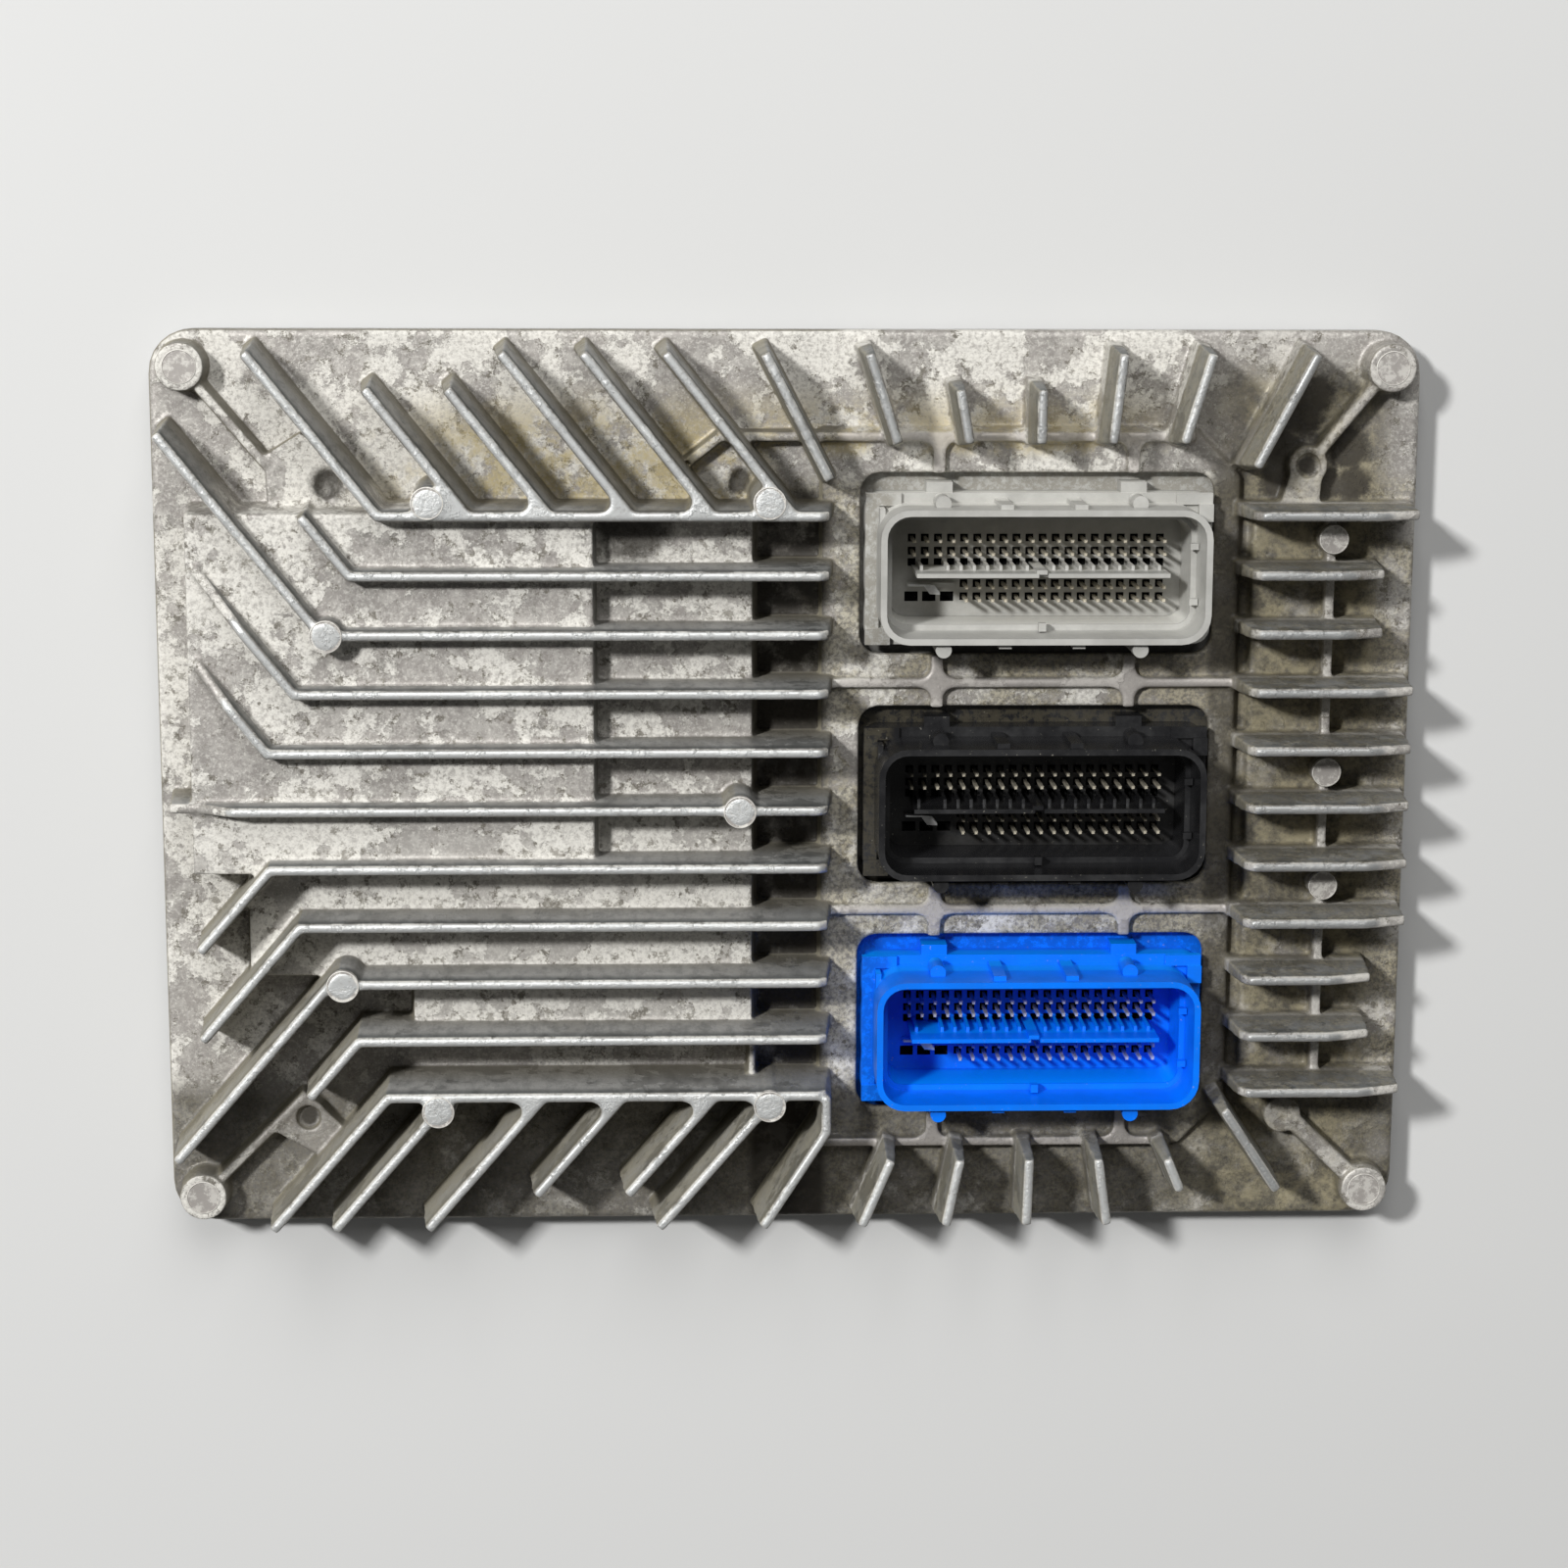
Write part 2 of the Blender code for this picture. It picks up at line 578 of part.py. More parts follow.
def fin_pads():
    """Round ejector pads on the fins of the left part."""
    first, last = row_y(0), row_y(ROW_COUNT - 1)
    seats = [(TOP_FEET_START - PAD_SEAT * 2.9, first + PAD_SEAT),
             (TOP_FEET_START + 4 * TOP_FEET_PITCH - PAD_SEAT * 1.8, first + PAD_SEAT),
             (knee_x(2) + PAD_SEAT * 0.3, row_y(2)), (MID_RIGHT_X - PAD_SEAT, row_y(5)),
             (knee_x(8) + PAD_SEAT, row_y(8)), (bottom_feet()[0] - PAD_SEAT * 0.9, last - PAD_SEAT),
             (bottom_feet()[4] - PAD_SEAT * 0.5, last - PAD_SEAT * 0.7)]
    top = FACE + FIN_HEIGHT + PAD_RISE
    draft = (top - FIN_ROOT) * FIN_DRAFT
    return [turned(((PAD_RADIUS + draft, FIN_ROOT), (PAD_RADIUS, top)), x, y, 14) for x, y in seats]


def low_ribs():
    """Low ribs round the sockets, with flared links from each rib to the opening beside it."""
    parts = []
    third, seventh = row_y(3), row_y(7)
    right = FAN_START_X + 4 * FAN_PITCH
    for y, start, stop in ((third, FIN_STOP_X - SHOULDER, RIGHT_START_X + SHOULDER),
                           (seventh, FIN_STOP_X - SHOULDER, RIGHT_START_X + SHOULDER),
                           (LOW_RIB_BOTTOM_Y, FIN_STOP_X - SHOULDER, right)):
        parts.append(fin([(start, y, LOW_RIB_HEIGHT), (stop, y, LOW_RIB_HEIGHT)], ends=(0, 0)))
    start_x = FIN_STOP_X - LOW_RIB_START
    parts.append(fin([(start_x - LOW_RIB_HOOK[0], LOW_RIB_TOP_Y - LOW_RIB_HOOK[1], LOW_RIB_HEIGHT),
                      (start_x, LOW_RIB_TOP_Y, LOW_RIB_HEIGHT),
                      (PLATFORM_RIGHT_X - PLATFORM_CUT, LOW_RIB_TOP_Y, LOW_RIB_HEIGHT)], ends=(0, 0)))
    ribs_y = ((LOW_RIB_TOP_Y, third), (third, seventh), (seventh, LOW_RIB_BOTTOM_Y))
    for side in (-1, 1):
        x = SOCKET_X + side * POST_SPAN / 2 + KEY_OFFSET_X
        for number in range(3):
            middle_y = socket_y(number) + OPENING_SHIFT_Y
            for away in (1, -1):
                edge = middle_y + away * (OPENING_WIDTH / 2 - OVERLAP)
                rib_y = ribs_y[number][away < 0]
                parts.append(flared_link(x, edge, rib_y))
    return parts


def flared_link(x, edge_y, rib_y):
    """Short web from a socket's edge to a rib, widening where it meets the rib."""
    away = 1 if rib_y > edge_y else -1
    half = FIN_CREST * 0.62
    flare = WEB_RADIUS * 1.2
    tangent = rib_y - away * FIN_CREST / 2
    steps = 3
    right = []
    for step in range(steps + 1):
        turn = math.radians(90.0) * step / steps
        right.append((x + half + flare * (1 - math.cos(turn)),
                      tangent - away * flare * (1 - math.sin(turn))))
    outline = [(x + half, edge_y)] + right + [(x + half + flare, rib_y), (x - half - flare, rib_y)]
    outline += [(2 * x - px, py) for px, py in reversed(right)] + [(x - half, edge_y)]
    if away < 0:
        outline.reverse()
    return prism(outline, FIN_ROOT, FACE + LOW_RIB_HEIGHT)


def socket_y(number):
    """Centre of a socket on the plate: 0 grey, 1 black, 2 blue."""
    return SOCKET_MIDDLE_Y + (1 - number) * SOCKET_PITCH


def corner_places():
    """Centres of the four corner bosses."""
    x = PLATE_LENGTH / 2 - CORNER_INSET
    y = PLATE_WIDTH / 2 - CORNER_INSET
    return [(-x, y), (x, y), (x, -y), (-x, -y)]


def bosses():
    """Corner bosses, the ribs that tie them to the board bosses, and the webs round those."""
    parts = []
    top = FACE + CORNER_BOSS_HEIGHT
    profile = ((CORNER_BOSS_RADIUS + OVERLAP * 0.4, FIN_ROOT), (CORNER_BOSS_RADIUS, top))
    parts += [turned(profile, x, y, 20) for x, y in corner_places()]
    for (x, y), (end_x, end_y) in zip(corner_places(), BOSS_RIB_ENDS):
        crest = WIDE_RIB_CREST if end_x > 0 > end_y else BOSS_RIB_CREST
        path = [(x, y, BOSS_RIB_HEIGHT), (end_x, end_y, BOSS_RIB_HEIGHT - OVERLAP * 0.6)]
        parts.append(fin(path, crest=crest, draft=FIN_DRAFT * 3, ends=(0, 0)))
    profile = ((BOARD_BOSS_RADIUS + OVERLAP * 0.4, FIN_ROOT), (BOARD_BOSS_RADIUS, FACE + WEB_HEIGHT))
    parts += [turned(profile, x, y, 16) for x, y in BOARD_BOSSES]
    parts += [prism(outline, FIN_ROOT, FACE + WEB_HEIGHT) for outline in web_outlines()]
    return parts


def web_outlines():
    """Flat webs that join three of the board bosses to the fins next to them."""
    left_x, left_y = BOARD_BOSSES[0]
    first = row_y(0)
    upper_left = [(left_x - 11.5 * MM, first), (knee_x(0), first), (left_x - 1.0 * MM, left_y + 7.0 * MM),
                  (left_x - 5.0 * MM, left_y + 9.6 * MM), (left_x - 11.8 * MM, left_y + 5.4 * MM)]
    right_x, right_y = BOARD_BOSSES[1]
    half = BOARD_BOSS_RADIUS * 0.8
    upper_right = [(right_x - 5.4 * MM, first), (right_x + 2.2 * MM, first),
                   (right_x + half, right_y), (right_x - half, right_y)]
    low_x, low_y = BOARD_BOSSES[3]
    lower_left = [(low_x - 0.6 * MM, low_y + 5.4 * MM), (low_x - 6.6 * MM, low_y - 2.8 * MM),
                  (low_x + 2.6 * MM, low_y - 8.4 * MM), (low_x + 6.6 * MM, low_y - 1.6 * MM)]
    return [upper_left, upper_right, lower_left]


def plateaus():
    """Raised floors between the fins: high, middle, the sockets' platform and the right strip."""
    first, sixth = row_y(0), row_y(6)
    high = [(HIGH_RIGHT_X, first), (HIGH_LEFT_X, first), (HIGH_LEFT_X, HIGH_BOTTOM_Y),
            (HIGH_NOTCH_X, HIGH_BOTTOM_Y), (HIGH_NOTCH_X, sixth), (HIGH_RIGHT_X, sixth)]
    hidden_x = HIGH_RIGHT_X - OVERLAP * 3
    middle = [(MID_RIGHT_X, first), (hidden_x, first), (hidden_x, sixth + OVERLAP),
              (MID_LEFT_X, sixth + OVERLAP), (MID_LEFT_X, MID_JOG_Y), (MID_LOWER_X, MID_JOG_Y),
              (MID_LOWER_X, row_y(9)), (MID_RIGHT_X, row_y(9))]
    cut_x = PLATFORM_RIGHT_X - PLATFORM_CUT
    platform = [(PLATFORM_RIGHT_X, PLATFORM_TOP_Y - PLATFORM_CUT), (cut_x, PLATFORM_TOP_Y),
                (PLATFORM_LEFT_X, PLATFORM_TOP_Y), (PLATFORM_LEFT_X, PLATFORM_BOTTOM_Y),
                (cut_x, PLATFORM_BOTTOM_Y), (PLATFORM_RIGHT_X, PLATFORM_BOTTOM_Y + PLATFORM_CUT)]
    last = row_y(ROW_COUNT - 1)
    strip = [(SPINE_X, first), (RIGHT_FLOOR_X, first), (RIGHT_FLOOR_X, last), (SPINE_X, last)]
    bar = [(MID_RIGHT_X, row_y(9), MID_STEP), (MID_RIGHT_X, last, MID_STEP)]
    shapes = [plateau(high, FACE + HIGH_STEP), plateau(middle, FACE + MID_STEP),
              plateau(platform, FACE + LOW_STEP), plateau(strip, FACE + LOW_STEP)]
    shapes.append(fin(bar, crest=SPINE_WIDTH, ends=(0, 0)))
    return shapes


def hollows():
    """What is cut from below: the board's space, and the deeper rooms under the raised floors."""
    length = PLATE_LENGTH - 2 * HOLLOW_MARGIN
    width = PLATE_WIDTH - 2 * HOLLOW_MARGIN
    below = COVER_BOTTOM - OVERLAP
    base = rounded_rectangle(0, 0, length, width, HOLLOW_CORNER, 3)
    left = -length / 2
    first, sixth = row_y(0), row_y(6)
    high = [(HIGH_RIGHT_X - WALL, first - WALL), (left, first - WALL), (left, sixth + WALL),
            (HIGH_RIGHT_X - WALL, sixth + WALL)]
    middle = [(MID_RIGHT_X - WALL, first - WALL), (HIGH_RIGHT_X - WALL * 2, first - WALL),
              (HIGH_RIGHT_X - WALL * 2, sixth - WALL), (MID_LEFT_X + WALL, sixth - WALL),
              (MID_LEFT_X + WALL, MID_JOG_Y + WALL), (MID_LOWER_X + WALL, MID_JOG_Y + WALL),
              (MID_LOWER_X + WALL, row_y(9) + WALL), (MID_RIGHT_X - WALL, row_y(9) + WALL)]
    socket_left, socket_right = PLATFORM_LEFT_X + WALL, PLATFORM_RIGHT_X - WALL / 2
    socket_top, socket_bottom = PLATFORM_TOP_Y - WALL, PLATFORM_BOTTOM_Y + WALL
    sockets = [(socket_right, socket_top), (socket_left, socket_top), (socket_left, socket_bottom),
               (socket_right, socket_bottom)]
    return [prism(base, below, FACE - WALL), prism(high, below, FACE + HIGH_STEP - WALL),
            prism(middle, below, FACE + MID_STEP - WALL), prism(sockets, below, PLATFORM_CEILING)]


def seal_groove():
    """Groove for the seal in the cover's underside, as a closed ring."""
    return seal_ring(SEAL_WIDTH + 2 * GAP, COVER_BOTTOM - OVERLAP, COVER_BOTTOM + SEAL_HEIGHT + GAP)


def seal_ring(width, bottom, top):
    """Ring of rectangular section that runs round the plate at the seal's inset."""
    outlines = []
    for grow in (width / 2, -width / 2):
        length = PLATE_LENGTH - 2 * SEAL_INSET + 2 * grow
        across = PLATE_WIDTH - 2 * SEAL_INSET + 2 * grow
        outlines.append(rounded_rectangle(0, 0, length, across, SEAL_CORNER + grow, 4))
    return ring_solid(outlines[0], outlines[1], bottom, top)


def ring_solid(outer, inner, bottom, top):
    """Closed ring between two outlines of equal point count."""
    shape = bmesh.new()
    loops = [[shape.verts.new((x, y, z)) for x, y in outline]
             for outline, z in ((outer, bottom), (outer, top), (inner, top), (inner, bottom))]
    for first, second in zip(loops, loops[1:] + loops[:1]):
        for index in range(len(first)):
            after = (index + 1) % len(first)
            shape.faces.new((first[index], first[after], second[after], second[index]))
    return shape


def cover_cuts():
    """Openings, dimples and screw holes of the cover."""
    parts = []
    for number in range(3):
        outline = rounded_rectangle(SOCKET_X, socket_y(number) + OPENING_SHIFT_Y, OPENING_LENGTH,
                                    OPENING_WIDTH, OPENING_CORNER, SOCKET_STEPS)
        parts.append(prism(outline, COVER_BOTTOM, FACE + WEB_HEIGHT + OVERLAP))
    hole = CORNER_SCREW_RADIUS + SCREW_PLAY
    disc = FACE + CORNER_BOSS_HEIGHT
    for x, y in corner_places():
        parts.append(prism(circle(x, y, hole, 10), COVER_BOTTOM - OVERLAP, FACE + CORNER_SCREW_REACH + GAP))
        parts.append(prism(circle(x, y, CORNER_DISC_RADIUS, 16), disc - CORNER_DISC_DEPTH, disc + OVERLAP))
    hole = BOARD_SCREW_RADIUS + SCREW_PLAY
    top = FACE + WEB_HEIGHT
    for number, (x, y) in enumerate(BOARD_BOSSES):
        parts.append(prism(circle(x, y, hole, 10), COVER_BOTTOM, BOARD_TOP + BOARD_SCREW_REACH + GAP))
        if number != 2:
            profile = ((DIMPLE_RADIUS * 0.4, top - DIMPLE_DEPTH), (DIMPLE_RADIUS, top),
                       (DIMPLE_RADIUS + OVERLAP * 0.3, top + BOSS_RIB_HEIGHT))
            parts.append(turned(profile, x, y, 12))
    parts.append(seal_groove())
    return parts


def inner_bosses():
    """Bosses inside the cover that the board is screwed to, and the pedestals over the drivers."""
    parts = []
    hole = BOARD_SCREW_RADIUS + SCREW_PLAY
    for x, y in BOARD_BOSSES:
        outer = circle(x, y, BOARD_BOSS_RADIUS, 16)
        inner = circle(x, y, hole, 16)
        parts.append(ring_solid(outer, inner, BOARD_TOP + GAP, FACE - WALL / 2))
    length, width, height = on_board_size(DRIVER_SIZE)
    bottom = BOARD_TOP + GAP + height + GAP + PAD_THICKNESS + GAP
    for driver_x in DRIVER_X:
        x, y = on_board(driver_x, DRIVER_Y)
        outline = rounded_rectangle(x, y, length, width, OVERLAP, 1)
        parts.append(prism(outline, bottom, FACE + MID_STEP - WALL / 2))
    return parts


def finned_cover(finish):
    """The die-cast cover: flange plate, raised floors, fins and bosses, hollowed from below."""
    outlines = []
    for grow, z in ((0, COVER_BOTTOM), (0, FACE - EDGE_CHAMFER), (-EDGE_CHAMFER, FACE)):
        outlines.append((rounded_rectangle(0, 0, PLATE_LENGTH + 2 * grow, PLATE_WIDTH + 2 * grow,
                                           PLATE_CORNER + grow), z))
    cover = add_object("finned_cover", rings(outlines), finish)
    solids = plateaus() + left_fins() + slanted_fins() + fan_fins() + right_fins()
    solids += fin_pads() + low_ribs() + bosses()
    combine(cover, "cover_solids", "UNION", solids)
    combine(cover, "cover_hollows", "DIFFERENCE", hollows())
    combine(cover, "cover_inside", "UNION", inner_bosses())
    combine(cover, "cover_cuts", "DIFFERENCE", cover_cuts())
    return cover


def back_plate(finish):
    """Pressed sheet under the unit: a flat border, and a dish that the unit rests on."""
    floor_shrink = 2 * DISH_SLOPE
    inset = SHEET * 0.4

    def dish(grow, corner, z):
        length = PLATE_LENGTH - 2 * DISH_MARGIN + grow
        width = PLATE_WIDTH - 2 * DISH_MARGIN + grow
        return rounded_rectangle(0, 0, length, width, corner), z
    edge = rounded_rectangle(0, 0, PLATE_LENGTH, PLATE_WIDTH, PLATE_CORNER)
    floor_corner = DISH_CORNER - DISH_SLOPE / 2
    top = [dish(-floor_shrink, floor_corner, SHEET), dish(0, DISH_CORNER, BORDER_TOP), (edge, BORDER_TOP)]
    bottom = [(edge, DISH_DEPTH), dish(2 * inset, DISH_CORNER + inset, DISH_DEPTH),
              dish(2 * inset - floor_shrink, floor_corner + inset, 0.0)]
    plate = add_object("back_plate", rings(top + bottom), finish)
    radius = CORNER_SCREW_RADIUS + SCREW_PLAY
    outlines = [circle(x, y, radius, 12) for x, y in corner_places()]
    holes = [prism(outline, DISH_DEPTH - OVERLAP, BORDER_TOP + OVERLAP) for outline in outlines]
    combine(plate, "plate_holes", "DIFFERENCE", holes)
    return plate


def circuit_board(finish):
    """The board, held by four screws under the cover."""
    length = PLATE_LENGTH - 2 * HOLLOW_MARGIN - 2 * BOARD_PLAY
    width = PLATE_WIDTH - 2 * HOLLOW_MARGIN - 2 * BOARD_PLAY
    outline = rounded_rectangle(0, 0, length, width, BOARD_CORNER, 3)
    board = add_object("circuit_board", prism(outline, BOARD_BOTTOM, BOARD_TOP), finish)
    radius = BOARD_SCREW_RADIUS + SCREW_PLAY
    outlines = [circle(x, y, radius, 12) for x, y in BOARD_BOSSES]
    holes = [prism(outline, BOARD_BOTTOM - OVERLAP, BOARD_TOP + OVERLAP) for outline in outlines]
    combine(board, "board_holes", "DIFFERENCE", holes)
    return board


def pin_field():
    """All pins of one header in one bmesh, each a square blade with a pointed tip."""
    shape = bmesh.new()
    half = PIN_SIDE / 2
    bottom = SOCKET_FLOOR - OVERLAP * 0.8
    shoulder = SOCKET_FLOOR + PIN_HEIGHT - PIN_POINT
    for row, first_column in PIN_ROWS:
        y = PIN_FIELD_Y - row * PIN_PITCH
        for column in range(int(first_column), PIN_COLUMNS):
            x = (column - (PIN_COLUMNS - 1) / 2) * PIN_PITCH
            corners = [(x + across * half, y + along * half)
                       for across, along in ((-1, -1), (1, -1), (1, 1), (-1, 1))]
            low = [shape.verts.new((px, py, bottom)) for px, py in corners]
            high = [shape.verts.new((px, py, shoulder)) for px, py in corners]
            tip = shape.verts.new((x, y, shoulder + PIN_POINT))
            shape.faces.new(list(reversed(low)))
            for index in range(4):
                after = (index + 1) % 4
                shape.faces.new((low[index], low[after], high[after], high[index]))
                shape.faces.new((high[index], high[after], tip))
    return shape


def housing():
    """Header housing as one skin: foot, block, shroud, rim, stepped socket wall and floor."""
    def ring(length, width, corner, z, shift=0.0):
        return rounded_rectangle(0, shift, length, width, corner, SOCKET_STEPS), z
    foot = (OPENING_LENGTH + 2 * FLANGE_LIP, OPENING_WIDTH + 2 * FLANGE_LIP, OPENING_CORNER + FLANGE_LIP)
    block = (BLOCK_LENGTH, BLOCK_WIDTH, BLOCK_CORNER)
    shroud = (SHROUD_LENGTH, SHROUD_WIDTH, SHROUD_CORNER)

    def inside(inset, z):
        return ring(SHROUD_LENGTH - 2 * inset, SHROUD_WIDTH - 2 * inset, SHROUD_CORNER - inset, z)
    ledge = RIM - LEDGE_DEPTH
    levels = [ring(*foot, FOOT_BOTTOM, OPENING_SHIFT_Y), ring(*foot, FOOT_TOP, OPENING_SHIFT_Y),
              ring(*block, FOOT_TOP), ring(*block, BLOCK_TOP), ring(*shroud, BLOCK_TOP), ring(*shroud, RIM),
              inside(SHROUD_WALL, RIM), inside(SHROUD_WALL + SHROUD_TAPER, ledge),
              inside(SHROUD_WALL + SHROUD_TAPER + LEDGE_WIDTH, ledge),
              inside(SHROUD_WALL + 2 * SHROUD_TAPER + LEDGE_WIDTH, SOCKET_FLOOR)]
    return rings(levels)


def header_details():
    """Pins, divider blade, posts, keys and tabs that are moulded or fixed in the housing."""
    parts = [pin_field(), blade()]
    for side in (-1, 1):
        edge = side * SHROUD_WIDTH / 2
        for x in (-POST_SPAN / 2 + KEY_OFFSET_X, POST_SPAN / 2 + KEY_OFFSET_X):
            y = edge + side * (POST_REACH - POST_RADIUS)
            parts.append(prism(circle(x, y, POST_RADIUS, 10), BLOCK_TOP - OVERLAP, BLOCK_TOP + POST_HEIGHT))
        for x in (-KEY_SPAN / 2 + KEY_OFFSET_X, KEY_SPAN / 2 + KEY_OFFSET_X):
            parts.append(block_between(x - KEY_WIDTH / 2, x + KEY_WIDTH / 2, edge - side * OVERLAP * 0.8,
                                       edge + side * KEY_REACH, BLOCK_TOP - OVERLAP, BLOCK_TOP + KEY_HEIGHT))
    for side in (-1, 1):
        x = side * TAB_SPAN / 2 + KEY_OFFSET_X
        parts.append(block_between(x - TAB_WIDTH / 2, x + TAB_WIDTH / 2, BLOCK_WIDTH / 2 - OVERLAP,
                                   BLOCK_WIDTH / 2 + TAB_REACH, FOOT_TOP - OVERLAP, BLOCK_TOP))
    return parts


def block_between(x_low, x_high, y_one, y_two, z_low, z_high):
    """Box from its limits."""
    y_low, y_high = min(y_one, y_two), max(y_one, y_two)
    return prism([(x_low, y_low), (x_high, y_low), (x_high, y_high), (x_low, y_high)], z_low, z_high)


def blade():
    """Divider between the second and the third pin row, with a notch in its edge."""
    y = PIN_FIELD_Y - PIN_PITCH * (PIN_ROWS[1][0] + PIN_ROWS[2][0]) / 2
    half = BLADE_THICKNESS / 2
    reach = (PIN_COLUMNS - 1) / 2 * PIN_PITCH
    top = SOCKET_FLOOR + BLADE_HEIGHT
    notch = BLADE_NOTCH_WIDTH / 2
    foot = SOCKET_FLOOR - OVERLAP * 0.8
    notch_floor = top - BLADE_NOTCH_DEPTH
    profile = [(-reach - BLADE_TAPER, foot), (reach + BLADE_TAPER, foot), (reach, top), (notch, top),
               (notch, notch_floor), (-notch, notch_floor), (-notch, top), (-reach, top)]
    shape = bmesh.new()
    near = [shape.verts.new((x, y - half, z)) for x, z in profile]
    far = [shape.verts.new((x, y + half, z)) for x, z in profile]
    shape.faces.new(near)
    shape.faces.new(list(reversed(far)))
    for index in range(len(profile)):
        after = (index + 1) % len(profile)
        shape.faces.new((near[index], far[index], far[after], near[after]))
    return shape


def headers(finishes):
    """Three equal headers that share one mesh, each in its own colour."""
    pattern = add_object("header_pattern", housing())
    combine(pattern, "header_details", "UNION", header_details())
    scene_graph = bpy.context.evaluated_depsgraph_get()
    mesh = bpy.data.meshes.new_from_object(pattern.evaluated_get(scene_graph))
    mesh.name = "header"
    mesh.materials.clear()
    mesh.materials.append(finishes[0])
    pattern.hide_render = True
    pattern.display_type = "WIRE"
    for number, (name, finish) in enumerate(zip(("header_grey", "header_black", "header_blue"), finishes)):
        header = bpy.data.objects.new(name, mesh)
        header.location = (SOCKET_X, socket_y(number), 0.0)
        bpy.context.scene.collection.objects.link(header)
        header.material_slots[0].link = "OBJECT"
        header.material_slots[0].material = finish


def header_seals(finish):
    """Flat rings between each header's foot and the cover's ceiling."""
    bottom = FOOT_TOP + GAP
    for number, name in enumerate(("header_seal_grey", "header_seal_black", "header_seal_blue")):
        outlines = []
        for grow in (FLANGE_LIP / 2 + HEADER_SEAL_WIDTH / 2, FLANGE_LIP / 2 - HEADER_SEAL_WIDTH / 2):
            outlines.append(rounded_rectangle(0, OPENING_SHIFT_Y, OPENING_LENGTH + 2 * grow,
                                              OPENING_WIDTH + 2 * grow, OPENING_CORNER + grow, SOCKET_STEPS))
        seal = add_object(name, ring_solid(outlines[0], outlines[1], bottom, bottom + HEADER_SEAL), finish)
        seal.location = (SOCKET_X, socket_y(number), 0.0)


def shorting_clips(finish):
    """Bent strips at the end of the lower pin rows of each socket."""
    x = (CLIP_COLUMN - (PIN_COLUMNS - 1) / 2) * PIN_PITCH
    y = PIN_FIELD_Y - PIN_PITCH * PIN_ROWS[2][0]
    floor = SOCKET_FLOOR + GAP
    centre = [(-CLIP_FOOT, floor + CLIP_THICKNESS / 2), (0.0, floor + CLIP_THICKNESS / 2),
              (CLIP_LEAN, floor + CLIP_RISE), (CLIP_LEAN + CLIP_TONGUE, floor + CLIP_RISE - CLIP_THICKNESS)]
    for number, name in enumerate(("shorting_clip_grey", "shorting_clip_black", "shorting_clip_blue")):
        clip = add_object(name, bent_strip(centre, CLIP_WIDTH, CLIP_THICKNESS), finish)
        clip.location = (SOCKET_X + x, socket_y(number) + y, 0.0)


def bent_strip(centre, width, thickness):
    """Strip of even thickness along a path in the XZ plane."""
    shape = bmesh.new()
    loops = []
    for index, (x, z) in enumerate(centre):
        here = Vector((x, z))
        ahead = Vector(centre[min(index + 1, len(centre) - 1)])
        behind = Vector(centre[max(index - 1, 0)])
        after = (ahead - here).normalized() if index < len(centre) - 1 else (here - behind).normalized()
        before = (here - behind).normalized() if index else after
        normal = Vector((-before.y, before.x)) + Vector((-after.y, after.x))
        normal = normal.normalized()
        normal *= thickness / 2 / normal.dot(Vector((-after.y, after.x)))
        points = (here - normal, here + normal)
        loops.append([shape.verts.new((point.x, side * width / 2, point.y)) for point, side in
                      ((points[0], -1), (points[1], -1), (points[1], 1), (points[0], 1))])
    for first, second in zip(loops, loops[1:]):
        for index in range(4):
            after = (index + 1) % 4
            shape.faces.new((first[index], second[index], second[after], first[after]))
    shape.faces.new(loops[0])
    shape.faces.new(list(reversed(loops[-1])))
    return shape


def screws(finish):
    """Corner screws through the back plate, and board screws through the board."""
    kinds = (("corner_screw", corner_places(), DISH_DEPTH - GAP, CORNER_HEAD_RADIUS, CORNER_HEAD,
              CORNER_SCREW_RADIUS, FACE + CORNER_SCREW_REACH),
             ("board_screw", BOARD_BOSSES, BOARD_BOTTOM - GAP, BOARD_HEAD_RADIUS, BOARD_HEAD,
              BOARD_SCREW_RADIUS, BOARD_TOP + BOARD_SCREW_REACH))
    for kind, places, seat, head_radius, head, radius, reach in kinds:
        profile = ((head_radius * 0.8, seat - head), (head_radius, seat - head * 0.6),
                   (head_radius, seat), (radius, seat), (radius, reach))
        for number, (x, y) in enumerate(places, 1):
            screw = add_object("%s_%d" % (kind, number), turned(profile, 0, 0, 12), finish)
            screw.location = (x, y, 0.0)


def chip(name, place, size, finish):
    """Package with chamfered top edges, seated on the board."""
    length, width, height = on_board_size(size)
    bottom = BOARD_TOP + GAP
    side = rounded_rectangle(0, 0, length, width, CHIP_CHAMFER, 1)
    lid = rounded_rectangle(0, 0, length - 2 * CHIP_CHAMFER, width - 2 * CHIP_CHAMFER, CHIP_CHAMFER / 2, 1)
    outlines = [(side, bottom), (side, bottom + height - CHIP_CHAMFER), (lid, bottom + height)]
    made = add_object(name, rings(outlines), finish)
    made.location = (*on_board(*place), 0.0)


